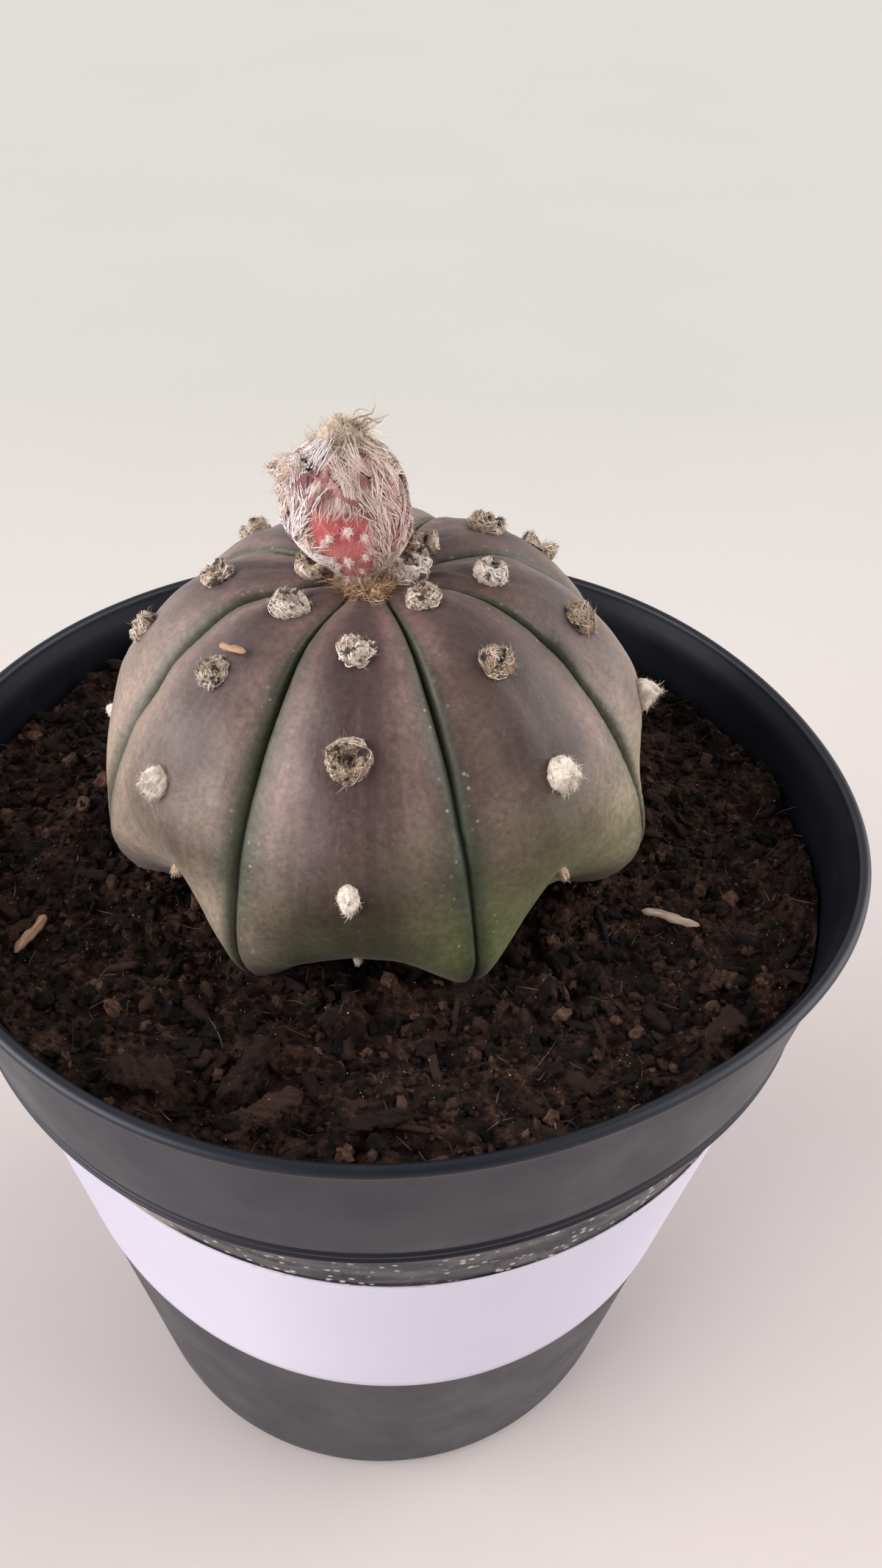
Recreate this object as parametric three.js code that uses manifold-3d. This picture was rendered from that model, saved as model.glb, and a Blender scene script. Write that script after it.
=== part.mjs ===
// A star cactus in a round plastic nursery pot.
//
// Millimetres, +Z up. The origin is the centre of the pot's flat base, on the surface it stands on,
// and -Y is the front. Azimuths are degrees counter-clockwise from +X, seen from above.

import * as THREE from "three";
import { mergeVertices } from "three/addons/utils/BufferGeometryUtils.js";
import Module from "manifold-3d";

const wasm = await Module();
wasm.setup();

// ---------------------------------------------------------------- driving dimensions

const GAP = 0.3; // between two pieces that touch

const POT_HEIGHT = 132;
const POT_WALL = 1.3;
const POT_FLOOR = 1.6;
const RIM_RADIUS = 75;
const BASE_RADIUS = 51.1;
const BAND_FOOT = 104.4; // height of the step where the upper band begins
const BAND_FOOT_RADIUS = 69.9;
const SHOULDER_RADIUS = 67.8; // the lower wall just under the band
const BAND_TOP_RADIUS = 73.8;
const LOWER_SLOPE = (SHOULDER_RADIUS - BASE_RADIUS) / BAND_FOOT;
const BAND_SLOPE = (BAND_TOP_RADIUS - BAND_FOOT_RADIUS) / (POT_HEIGHT - BAND_FOOT);
const POT_SEGMENTS = 60;

// The thin wall has gone out of round: waves around the rim that fade out towards the stiff floor.
const RIM_WAVES = [
  { lobes: 4, height: 0.6, phase: 80 },
  { lobes: 5, height: 0.37, phase: 102 },
];

const DRAIN_HOLES = 8;
const DRAIN_RADIUS = 4.5;
const DRAIN_RING = 38;

const SOIL_LEVEL = 120.4;
const SOIL_TILT = 2.0; // rise of the soil at the pot's wall, on its high side
const SOIL_TILT_AZIMUTH = 165;
const SOIL_COLUMNS = 80;
const SOIL_TOP_RINGS = [12, 26, 36, 41, 45, 48.5, 52, 55, 58, 61, 63.6, 66.2, 68.6];

// Bark pieces and clods that stand out of the soil: place, half length, half width, rise, azimuth.
const SOIL_LUMPS = [
  { x: -18.5, y: -51.5, length: 7.5, width: 1.7, rise: 2.4, azimuth: 63 },
  { x: -16.5, y: -60.2, length: 6.0, width: 1.9, rise: 2.6, azimuth: 32 },
  { x: -1.0, y: -61.4, length: 4.6, width: 1.2, rise: 1.7, azimuth: 16 },
  { x: -6.1, y: -42.6, length: 3.3, width: 2.9, rise: 2.6, azimuth: 10 },
  { x: 64.6, y: 11.5, length: 5.6, width: 4.4, rise: 2.8, azimuth: 80 },
  { x: 66.2, y: -15.0, length: 4.2, width: 3.2, rise: 2.2, azimuth: 70 },
  { x: 22.0, y: -36.5, length: 3.8, width: 3.0, rise: 2.2, azimuth: 20 },
  { x: 17.9, y: -41.5, length: 2.8, width: 2.4, rise: 1.8, azimuth: 0 },
  { x: -26.0, y: -64.8, length: 5.0, width: 1.3, rise: 2.4, azimuth: 152 },
  { x: -1.0, y: -66.8, length: 2.8, width: 2.4, rise: 2.2, azimuth: 15 },
  { x: -32.6, y: -54.6, length: 4.4, width: 3.0, rise: 1.8, azimuth: 170 },
  { x: -46.0, y: 48.0, length: 5.2, width: 2.6, rise: 2.2, azimuth: 130 },
  { x: 20.0, y: 62.0, length: 6.0, width: 2.2, rise: 2.0, azimuth: 12 },
  { x: 48.0, y: -44.0, length: 3.6, width: 2.4, rise: 1.8, azimuth: 40 },
];

// The cactus grows about a point inside it, on an axis that leans a little to the left and front.
const BODY_CENTRE = new THREE.Vector3(-1.4, 2.2, 128);
const BODY_LEAN = { x: -0.052, y: -0.035 };
const RIBS = 8;
const RIB_PITCH = 360 / RIBS;
// Meridians from the crown, over the shoulder and round under the body: one down the middle of the swelling
// between two rows of areoles, one down a row of areoles. Radius from the axis, and height over the centre.
const SWELL_MERIDIAN = [
  [0, 37.5], [8.5, 39.5], [19.1, 39.0], [27.8, 33.4], [35.6, 24.9], [41.3, 15.0], [44.4, 3.9],
  [42.6, -3.6], [38.4, -7.6], [32.0, -9.0], [21.0, -9.2], [10.0, -9.2], [0, -9.2],
];
const AREOLE_MERIDIAN = [
  [0, 37.5], [8.6, 40.3], [19.4, 39.7], [29.4, 34.9], [37.7, 26.4], [41.9, 15.2], [38.8, 3.4],
  [31.0, -1.8], [22.5, -4.2], [18.5, -5.8], [14.5, -7.4], [9.0, -9.0], [0, -9.2],
];
const GROOVE_DEPTHS = [0, 2.2, 2.8, 2.4, 1.8, 1.8, 1.8, 1.8, 1.6, 1.0, 0.3, 0, 0];
// How far each row of areoles stands out of its valley near the foot, from rib 0 (+X) counter-clockwise.
const FOOT_FULLNESS = [-3, 0, 0, 0.5, 1.4, -1.1, 2.8, -0.9];
const RIB_TWIST = [-7.1, -4.4, -4.5, -5.5, -5.9, -4.5, -4.3, -3.5]; // degrees, each rib off its even place
const GROOVE_TWIST = [-4.6, -4.5, -4.7, -4.2, -4.2, -4.8, -4.2, -1.2]; // the groove after each rib
// Column offsets from a groove to the middle of a rib, close together where the groove is sharp.
const RIB_COLUMNS = [0, 1.1, 2.6, 6, 11, 16.8, 22.5];
const IMPRINT_COLUMNS = [0, 3, 6.5, 11, 16.5, 22.5]; // the same, for its imprint in the soil
const BODY_ROWS = 23;

// Areoles down each rib, from rib 0: stations along the meridian, where 1 is its second point.
const AREOLE_STATIONS = [
  [0.7, 1.82, 3.17, 4.53, 5.7],
  [1.14, 2.36, 3.57, 4.87, 5.9],
  [1.14, 2.57, 4.0, 5.47],
  [1.71, 3.17, 4.6, 5.93],
  [1.0, 2.32, 3.7, 5.19, 6.1],
  [1.54, 2.86, 4.32, 5.75],
  [2.02, 3.41, 4.9, 6.25],
  [1.29, 2.64, 4.13, 5.6],
];
// Wool pad across against its station: broad and flat on the shoulder, small and brush-like at the foot.
const AREOLE_SIZES = [[0.7, 6.4], [2.0, 6.6], [3.4, 7.0], [4.2, 5.6], [4.9, 4.4], [5.6, 2.6], [6.3, 1.8]];
const YOUNG_STATION = 4.1; // above this an areole is a crater of grey wool, below it a white brush
const LOW_STATION = 5.4; // below this it hangs close over the soil

const ROOT_RADIUS = 12;
const ROOT_TIP_RADIUS = 6;
const ROOT_DEPTH = 26; // below the underside of the body

// The fruit: heights over its own foot, its radius there, and its axis, which bends to the left.
const FRUIT_FOOT = new THREE.Vector3(-5.2, 0.8, 166.7);
const FRUIT_HEIGHT = 19.8;
const FRUIT_PROFILE = [
  [0, 2.2], [0.08, 3.2], [0.18, 4.7], [0.3, 6.8], [0.44, 8.3], [0.6, 8.4], [0.78, 7.8], [0.92, 6.3], [1, 5.2],
];
const FRUIT_BEND = -2.1;
const FRUIT_STALK_RADIUS = 2.2;
const FRUIT_STALK_LENGTH = 4.0;
const FRUIT_SCALES = 66;
const LOWEST_SCALE = 0.2; // as a share of the fruit's height, clear of the wool around its foot
const BARE_PATCH = { azimuth: -90, halfWidth: 34, low: 0.04, high: 0.62 }; // bare red skin with white dots
const GOLDEN_ANGLE = 137.508;

const CROWN_TUFTS = 11; // wool around the foot of the fruit
const CROWN_TUFT_RING = 4.6;

// Dried flower on the fruit: a ragged cup.
const REMAINS_HEIGHT = 4.4;
const REMAINS_RADIUS = 4.0;
const REMAINS_TIPS = 11;

// A paper strip, wrapped straight on the tapered wall, so that its ends climb. The tape holds its top edge.
const LABEL_AXIS_AZIMUTH = -57; // where the strip is lowest
const LABEL_BOTTOM = 46.2; // height of its lower edge there
const LABEL_WIDTH = 44;
const LABEL_ENDS = [-133, 67]; // degrees from its lowest place
const PAPER = 0.4;
const TAPE_LAP = 8; // how far it covers the paper
const TAPE_ENDS = [-78, 50];
const TAPE_WIDTH = 26;

const WOOD_SLIVERS = [
  { name: "wood_sliver_left", x: -53.0, y: -28.4, azimuth: 66, length: 7.4, width: 1.5, pitch: 8 },
  { name: "wood_sliver_right", x: 43.8, y: -21.2, azimuth: -18, length: 9.4, width: 1.5, pitch: -4 },
];
const RIB_SLIVER = { name: "wood_sliver_on_cactus", station: 2.49, azimuth: -133.5, length: 5.4, width: 1.0 };

const COLOURS = {
  pot: 0x34393f,
  soil: 0x2a1f1b,
  cactus: 0x7a665f,
  fruit: 0xc08a86,
  remains: 0xa79a80,
  paper: 0xe6e1ea,
  tape: 0xc9c6c4,
  wood: 0xb98d68,
};

// ---------------------------------------------------------------- shared geometry

const radians = THREE.MathUtils.degToRad;
const { lerp, clamp, smoothstep } = THREE.MathUtils;

// A small repeatable random source: uniform numbers from 0 to 1.
function seededRandom(seed) {
  let state = seed;
  return () => {
    state = (state + 0x6d2b79f5) | 0;
    let t = Math.imul(state ^ (state >>> 15), 1 | state);
    t = (t + Math.imul(t ^ (t >>> 7), 61 | t)) ^ t;
    return ((t ^ (t >>> 14)) >>> 0) / 4294967296;
  };
}

// Straight-line interpolation in a table of [place, value] rows.
function tableAt(table, place) {
  let i = 0;
  while (i < table.length - 2 && place > table[i + 1][0]) i++;
  const [x0, y0] = table[i];
  const [x1, y1] = table[i + 1];
  return lerp(y0, y1, clamp((place - x0) / (x1 - x0), 0, 1));
}

// Smooth noise on a square lattice of unit cells, from -1 to 1.
function latticeNoise(x, y) {
  const value = (i, j) => {
    const s = Math.sin(i * 127.1 + j * 311.7) * 43758.5453;
    return 2 * (s - Math.floor(s)) - 1;
  };
  const i = Math.floor(x);
  const j = Math.floor(y);
  const u = smoothstep(x - i, 0, 1);
  const v = smoothstep(y - j, 0, 1);
  const low = lerp(value(i, j), value(i + 1, j), u);
  const high = lerp(value(i, j + 1), value(i + 1, j + 1), u);
  return lerp(low, high, v);
}

// A closed skin over a grid: pointAt(column, row) from the top pole (row 0) to the bottom pole (the last row).
function skin(columns, rows, pointAt) {
  const geometry = new THREE.SphereGeometry(1, columns, rows);
  const position = geometry.getAttribute("position");
  for (let row = 0; row <= rows; row++) {
    const first = pointAt(0, row); // shared by the seam, and by a whole pole row
    for (let i = 0; i <= columns; i++) {
      const shared = row === 0 || row === rows || i % columns === 0;
      const point = shared ? first : pointAt(i, row);
      position.setXYZ(row * (columns + 1) + i, point.x, point.y, point.z);
    }
  }
  return geometry;
}

function lathe(profile, segments) {
  const points = profile.map(([radius, height]) => new THREE.Vector2(radius, height));
  return new THREE.LatheGeometry(points, segments).rotateX(Math.PI / 2);
}

function solidOf(geometry) {
  const bare = geometry.clone();
  bare.deleteAttribute("normal");
  bare.deleteAttribute("uv");
  const merged = mergeVertices(bare, 1e-4);
  return new wasm.Manifold(
    new wasm.Mesh({
      numProp: 3,
      vertProperties: merged.getAttribute("position").array,
      triVerts: new Uint32Array(merged.index.array),
    }),
  );
}

function geometryOf(solid) {
  const mesh = solid.getMesh();
  const geometry = new THREE.BufferGeometry();
  geometry.setAttribute("position", new THREE.BufferAttribute(Float32Array.from(mesh.vertProperties), 3));
  geometry.setIndex(new THREE.BufferAttribute(Uint32Array.from(mesh.triVerts), 1));
  geometry.computeVertexNormals();
  return geometry;
}

function joined(geometries) {
  return geometries.map(solidOf).reduce((whole, piece) => whole.add(piece));
}

function named(name, geometry, color, roughness, metalness = 0) {
  const mesh = new THREE.Mesh(geometry, new THREE.MeshStandardMaterial({ color, roughness, metalness }));
  mesh.name = name;
  return mesh;
}

// Stands a geometry, built along +Z with its foot at the origin, on a point with the given up direction.
function stand(geometry, point, up, forward) {
  const z = up.clone().normalize();
  const y = forward.clone().addScaledVector(z, -forward.dot(z)).normalize();
  const x = new THREE.Vector3().crossVectors(y, z);
  const matrix = new THREE.Matrix4().makeBasis(x, y, z).setPosition(point);
  return geometry.applyMatrix4(matrix);
}

function azimuthDirection(azimuth) {
  return new THREE.Vector3(Math.cos(radians(azimuth)), Math.sin(radians(azimuth)), 0);
}

// ---------------------------------------------------------------- pot

function outOfRound(azimuth, height) {
  const fade = clamp(height / POT_HEIGHT, 0, 1) ** 2;
  const wave = RIM_WAVES.reduce((sum, w) => sum + w.height * Math.cos(radians(w.lobes * azimuth + w.phase)), 0);
  return fade * wave;
}

// Moves every vertex out or in with the pot's wall at its height.
function bendWithWall(geometry) {
  const position = geometry.getAttribute("position");
  for (let i = 0; i < position.count; i++) {
    const x = position.getX(i);
    const y = position.getY(i);
    const radius = Math.hypot(x, y);
    if (radius < 1e-6) continue;
    const azimuth = THREE.MathUtils.radToDeg(Math.atan2(y, x));
    const grown = (radius + outOfRound(azimuth, position.getZ(i))) / radius;
    position.setXY(i, x * grown, y * grown);
  }
  return geometry;
}

const outerRadius = (height) =>
  height < BAND_FOOT
    ? BASE_RADIUS + LOWER_SLOPE * height
    : BAND_FOOT_RADIUS + BAND_SLOPE * (height - BAND_FOOT);
const innerRadius = (height) => outerRadius(height < BAND_FOOT + 0.8 ? Math.min(height, BAND_FOOT - 0.5) : height)
  - POT_WALL;

function potGeometry() {
  const top = POT_HEIGHT;
  const underBead = top - 2.0;
  const profile = [
    [0, 0],
    [BASE_RADIUS - 0.9, 0],
    [BASE_RADIUS, 0.9],
    [SHOULDER_RADIUS, BAND_FOOT],
    [BAND_FOOT_RADIUS + 0.1, BAND_FOOT],
    [BAND_FOOT_RADIUS + 0.35, BAND_FOOT + 0.8],
    [BAND_FOOT_RADIUS + 0.2, BAND_FOOT + 2.0],
    [outerRadius(underBead), underBead],
    [RIM_RADIUS - 0.3, underBead + 0.15],
    [RIM_RADIUS, underBead + 0.9],
    [RIM_RADIUS - 0.3, top - 0.3],
    [RIM_RADIUS - 0.9, top],
    [RIM_RADIUS - 1.5, top - 0.25],
    [RIM_RADIUS - 1.9, top - 0.9],
    [innerRadius(top - 3), top - 3],
    [innerRadius(BAND_FOOT + 1.0), BAND_FOOT + 1.0],
    [innerRadius(BAND_FOOT - 0.5), BAND_FOOT - 0.5],
    [innerRadius(POT_FLOOR), POT_FLOOR],
    [0, POT_FLOOR],
  ];
  let pot = solidOf(bendWithWall(lathe(profile, POT_SEGMENTS)));
  for (let i = 0; i < DRAIN_HOLES; i++) {
    const hole = new THREE.CylinderGeometry(DRAIN_RADIUS, DRAIN_RADIUS, 3 * POT_FLOOR, 12).rotateX(Math.PI / 2);
    const place = azimuthDirection((i + 0.5) * (360 / DRAIN_HOLES)).multiplyScalar(DRAIN_RING);
    pot = pot.subtract(solidOf(hole.translate(place.x, place.y, POT_FLOOR / 2)));
  }
  return geometryOf(pot);
}

// ---------------------------------------------------------------- cactus

const swellCurve = new THREE.SplineCurve(SWELL_MERIDIAN.map(([r, z]) => new THREE.Vector2(r, z)));
const areoleCurve = new THREE.SplineCurve(AREOLE_MERIDIAN.map(([r, z]) => new THREE.Vector2(r, z)));
const LAST_STATION = SWELL_MERIDIAN.length - 1;
const SHOULDER_STATION = 3.2; // above it a rib is one ridge, below it the swelling between two rows takes over

function valueAtStation(values, station) {
  const i = Math.min(Math.floor(station), values.length - 2);
  return lerp(values[i], values[i + 1], station - i);
}

// Azimuth on the plant from an even azimuth, where rib k stands at k * RIB_PITCH.
function twisted(evenAzimuth) {
  const half = RIB_PITCH / 2;
  const place = (((evenAzimuth % 360) + 360) % 360) / half;
  const k = Math.floor(place);
  const twistAt = (i) => (i % 2 ? GROOVE_TWIST[((i - 1) / 2) % RIBS] : RIB_TWIST[(i / 2) % RIBS]);
  return evenAzimuth + lerp(twistAt(k), twistAt(k + 1), place - k);
}

// A point of the cactus's skin. spare grows it evenly outwards, with the grooves filled in.
function bodyPoint(evenAzimuth, station, spare = 0) {
  const rib = Math.round((((evenAzimuth % 360) + 360) % 360) / RIB_PITCH) % RIBS;
  const nearestRib = Math.round(evenAzimuth / RIB_PITCH) * RIB_PITCH;
  const fromGroove = 1 - Math.abs(evenAzimuth - nearestRib) / (RIB_PITCH / 2); // 0 in a groove, 1 on the rib
  const swell = swellCurve.getPoint(station / LAST_STATION);
  const areole = areoleCurve.getPoint(station / LAST_STATION);
  const foot = smoothstep(station, 4.2, 6) * (1 - smoothstep(station, 8, 10));
  areole.x += FOOT_FULLNESS[rib] * foot;
  const ridgeShape = Math.sin((Math.PI / 2) * fromGroove);
  const valleyShape = smoothstep(fromGroove, -0.06, 1);
  const shape = lerp(ridgeShape, valleyShape, smoothstep(station, SHOULDER_STATION, SHOULDER_STATION + 2));
  const point = swell.lerp(areole, shape);
  if (spare === 0) {
    const depth = valueAtStation(GROOVE_DEPTHS, station) * Math.exp(-((fromGroove / 0.09) ** 1.4));
    point.multiplyScalar(1 - depth / Math.max(point.length(), 1));
  } else {
    point.multiplyScalar(1 + spare / Math.max(point.length(), 1));
  }
  const direction = azimuthDirection(twisted(evenAzimuth));
  const flat = new THREE.Vector3(direction.x * point.x, direction.y * point.x, point.y);
  return new THREE.Vector3(
    flat.x + BODY_LEAN.x * flat.z,
    flat.y + BODY_LEAN.y * flat.z,
    flat.z - BODY_LEAN.x * flat.x - BODY_LEAN.y * flat.y,
  ).add(BODY_CENTRE);
}

function bodySkin(rows, offsets, spare) {
  const perRib = 2 * (offsets.length - 1);
  return skin(RIBS * perRib, rows, (column, row) => {
    const i = column % perRib;
    const fromGroove = i < perRib / 2 ? offsets[i] : RIB_PITCH - offsets[perRib - i];
    const evenAzimuth = (Math.floor(column / perRib) - 0.5) * RIB_PITCH + fromGroove;
    return bodyPoint(evenAzimuth, (row / rows) * LAST_STATION, spare);
  });
}

// Normal of the skin, and the direction down the rib, at a station of a rib.
function ribFrame(rib, station) {
  const azimuth = rib * RIB_PITCH;
  const point = bodyPoint(azimuth, station);
  const down = bodyPoint(azimuth, station + 0.2).sub(bodyPoint(azimuth, station - 0.2)).normalize();
  const across = bodyPoint(azimuth + 4, station).sub(bodyPoint(azimuth - 4, station)).normalize();
  const normal = new THREE.Vector3().crossVectors(down, across).normalize();
  return { point, normal, down };
}

// A pad of wool with its foot sunk in the skin: a crater with a ragged wall, or a closed brush.
function tuftGeometry(size, rise, crater, stretch, random) {
  const columns = size > 4 ? 8 : 5;
  const rows = size > 4 ? 5 : 4;
  const ragged = Array.from({ length: columns * (rows + 1) }, () => random());
  const wool = (column, row) => {
    const t = row / rows;
    const angle = (2 * Math.PI * column) / columns;
    const rough = ragged[row * columns + column];
    const poleRow = row === 0 || row === rows;
    const radius = (size / 2) * Math.sin(Math.PI * t) ** 0.8 * (poleRow ? 0 : lerp(0.86, 1.14, rough));
    const hollow = crater ? 0.45 * (1 - smoothstep(t, 0, 0.3)) : 0;
    const height = t < 0.5 ? rise * (Math.cos(Math.PI * t) ** 0.7 - hollow + (poleRow ? 0 : 0.3 * (rough - 0.5))) : -1.2;
    return new THREE.Vector3(radius * Math.cos(angle), radius * Math.sin(angle) * stretch, height);
  };
  return skin(columns, rows, wool);
}

function areoleGeometries(random) {
  const tufts = [];
  AREOLE_STATIONS.forEach((stations, rib) => {
    stations.forEach((station) => {
      const { point, normal, down } = ribFrame(rib, station);
      const young = station < YOUNG_STATION;
      const size = tableAt(AREOLE_SIZES, station) * lerp(0.92, 1.08, random());
      const rise = young ? 0.26 * size + 0.3 : 0.42 * size + 0.3;
      const tuft = tuftGeometry(size, rise, young, young ? 1 : 1.25, random);
      tufts.push(stand(tuft, point, normal, down));
    });
  });
  return tufts;
}

// Room in the soil for the lowest tufts, which hang in the hollows under the ribs.
function lowTuftRoom() {
  return AREOLE_STATIONS.flatMap((stations, rib) =>
    stations
      .filter((station) => station > LOW_STATION)
      .map((station) => {
        const { point, normal } = ribFrame(rib, station);
        const room = new THREE.IcosahedronGeometry(0.75 * tableAt(AREOLE_SIZES, station) + 1.2, 1);
        return room.translate(...point.addScaledVector(normal, 0.6));
      }),
  );
}

// Tan wool of the growing point, in a ring around the foot of the fruit.
function crownTuftGeometries(random) {
  return Array.from({ length: CROWN_TUFTS }, (_, i) => {
    const azimuth = (360 * (i + 0.4 * random())) / CROWN_TUFTS;
    const out = azimuthDirection(azimuth);
    // Thickest at the front, where it shows under the fruit.
    const fullness = out.y < -0.5 ? 1.25 : 1;
    const ring = CROWN_TUFT_RING + 1.2 * random();
    const foot = new THREE.Vector3(FRUIT_FOOT.x, FRUIT_FOOT.y, FRUIT_FOOT.z - 2.6).addScaledVector(out, ring);
    const tuft = tuftGeometry((3.2 + random()) * fullness, 2.6 + 1.4 * random(), false, 1, random);
    return stand(tuft, foot, new THREE.Vector3(0.5 * out.x, 0.5 * out.y, 1), out);
  });
}

function rootGeometry(spare) {
  const under = BODY_CENTRE.z + SWELL_MERIDIAN[LAST_STATION][1];
  const profile = [
    [0, under - ROOT_DEPTH - spare],
    [ROOT_TIP_RADIUS + spare, under - ROOT_DEPTH - spare],
    [ROOT_RADIUS + spare, under - 4],
    [ROOT_RADIUS + spare, under + 5],
    [0, under + 5],
  ];
  return lathe(profile, 20).translate(BODY_CENTRE.x, BODY_CENTRE.y, 0);
}

// ---------------------------------------------------------------- fruit

function fruitAxis(t) {
  return new THREE.Vector3(
    FRUIT_FOOT.x + FRUIT_BEND * smoothstep(t, 0, 0.7),
    FRUIT_FOOT.y + 0.4 * t,
    FRUIT_FOOT.z + FRUIT_HEIGHT * t,
  );
}

function fruitPoint(azimuth, t, spare = 0) {
  return fruitAxis(t).addScaledVector(azimuthDirection(azimuth), tableAt(FRUIT_PROFILE, t) + spare);
}

function stalkGeometry(spare) {
  const bottom = FRUIT_FOOT.z - FRUIT_STALK_LENGTH - spare;
  const profile = [
    [0, bottom],
    [FRUIT_STALK_RADIUS - 0.4 + spare, bottom],
    [FRUIT_STALK_RADIUS + spare, FRUIT_FOOT.z + 0.6],
    [0, FRUIT_FOOT.z + 0.6],
  ];
  return lathe(profile, 16).translate(FRUIT_FOOT.x, FRUIT_FOOT.y, 0);
}

function inBarePatch(azimuth, t) {
  const turn = Math.abs(((azimuth - BARE_PATCH.azimuth + 540) % 360) - 180);
  return turn < BARE_PATCH.halfWidth && t > BARE_PATCH.low && t < BARE_PATCH.high;
}

function fruitSkin(columns, rows, spare) {
  return skin(columns, rows, (column, row) => {
    const t = 1 - clamp((row - 1) / (rows - 2), 0, 1);
    if (row === 0 || row === rows) return fruitAxis(t).add(new THREE.Vector3(0, 0, row === 0 ? spare : -spare));
    return fruitPoint((360 * column) / columns, t, spare);
  });
}

// Woolly scales in a spiral, each a flat pointed blade that leans off the skin towards the tip of the fruit.
function scaleGeometries(random) {
  const scales = [];
  for (let i = 0; i < FRUIT_SCALES; i++) {
    const t = lerp(LOWEST_SCALE, 0.95, (i + 0.5) / FRUIT_SCALES);
    const azimuth = (i * GOLDEN_ANGLE) % 360;
    const bare = inBarePatch(azimuth, t);
    const length = bare ? 1.1 : lerp(4.0, 5.6, random());
    const width = bare ? 1.0 : lerp(1.5, 2.1, random());
    const out = azimuthDirection(azimuth);
    const along = fruitPoint(azimuth, Math.min(t + 0.06, 1)).sub(fruitPoint(azimuth, t)).normalize();
    const lift = bare ? 0.9 : lerp(0.12, 0.32, random());
    const up = along.clone().addScaledVector(out, lift);
    const cone = new THREE.ConeGeometry(width, length, 4).rotateX(Math.PI / 2);
    cone.scale(1, 0.45, 1).translate(0, 0, 0.3 * length);
    scales.push(stand(cone, fruitPoint(azimuth, t, 0.05), up, out));
  }
  return scales;
}

function fruitGeometry(random) {
  const pit = solidOf(remainsSeatGeometry());
  const fruit = joined([fruitSkin(18, 11, 0), stalkGeometry(0), ...scaleGeometries(random)]);
  return geometryOf(fruit.subtract(pit));
}

// ---------------------------------------------------------------- dried flower

function remainsPlace() {
  return fruitAxis(1);
}

function remainsSeatGeometry() {
  const top = remainsPlace();
  const profile = [
    [0, -1.3],
    [REMAINS_RADIUS - 1 + GAP, -1.3],
    [REMAINS_RADIUS - 1 + GAP, 0],
    [REMAINS_RADIUS + 3, 0],
    [REMAINS_RADIUS + 4, 6],
    [0, 6],
  ];
  return lathe(profile, 14).translate(top.x, top.y, top.z);
}

// A ragged cup of dried petals on a short plug, with one scrap that hangs off to the right.
function remainsGeometry(random) {
  const top = remainsPlace();
  const plug = lathe(
    [[0, -1.3 + GAP], [REMAINS_RADIUS - 1, -1.3 + GAP], [REMAINS_RADIUS - 1, 1], [0, 1]],
    12,
  );
  const cup = skin(14, 5, (column, row) => {
    const radii = [0, 0.55, 1, 1.15, 0.95, 0];
    const heights = [0.3, 0.45, 1, 0.55, 0, 0];
    const ragged = row === 0 || row === 5 ? 1 : lerp(0.8, 1.15, random());
    const angle = (2 * Math.PI * column) / 14;
    const radius = REMAINS_RADIUS * radii[row] * ragged;
    const height = GAP + REMAINS_HEIGHT * 0.6 * heights[row] * (row === 2 ? ragged : 1);
    return new THREE.Vector3(radius * Math.cos(angle), radius * Math.sin(angle), height);
  });
  const tips = Array.from({ length: REMAINS_TIPS }, (_, i) => {
    const azimuth = (360 * (i + random())) / REMAINS_TIPS;
    const out = azimuthDirection(azimuth);
    const tip = new THREE.ConeGeometry(0.85, lerp(2.6, REMAINS_HEIGHT, random()), 5).rotateX(Math.PI / 2);
    tip.scale(1, 0.6, 1).translate(0, 0, 1);
    const foot = out.clone().multiplyScalar(0.62 * REMAINS_RADIUS).setZ(GAP + 1.2);
    return stand(tip, foot, new THREE.Vector3(0.45 * out.x, 0.45 * out.y, 1), out);
  });
  const scrap = new THREE.BoxGeometry(3.2, 1.5, 0.8).rotateY(-0.25).translate(3.4, -0.8, GAP + 2.6);
  return geometryOf(joined([plug, cup, scrap, ...tips])).translate(top.x, top.y, top.z);
}

// ---------------------------------------------------------------- soil

function lumpRise(lump, x, y) {
  const along = azimuthDirection(lump.azimuth);
  const dx = x - lump.x;
  const dy = y - lump.y;
  const u = (dx * along.x + dy * along.y) / lump.length;
  const v = (dy * along.x - dx * along.y) / lump.width;
  const inside = 1 - u ** 4 - v * v;
  return inside > 0 ? lump.rise * Math.sqrt(inside) : 0;
}

function soilHeight(x, y) {
  const tilt = azimuthDirection(SOIL_TILT_AZIMUTH);
  const level = SOIL_LEVEL + (SOIL_TILT * (x * tilt.x + y * tilt.y)) / innerRadius(SOIL_LEVEL);
  const heaps = 0.9 * latticeNoise(x / 13 + 4.3, y / 13 + 1.7);
  const crumbs = 0.75 * latticeNoise(x / 5.2, y / 5.2) + 0.35 * latticeNoise(x / 2.9 + 9.1, y / 2.9);
  const lumps = SOIL_LUMPS.reduce((most, lump) => Math.max(most, lumpRise(lump, x, y)), 0);
  return level + heaps + crumbs + lumps;
}

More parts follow.
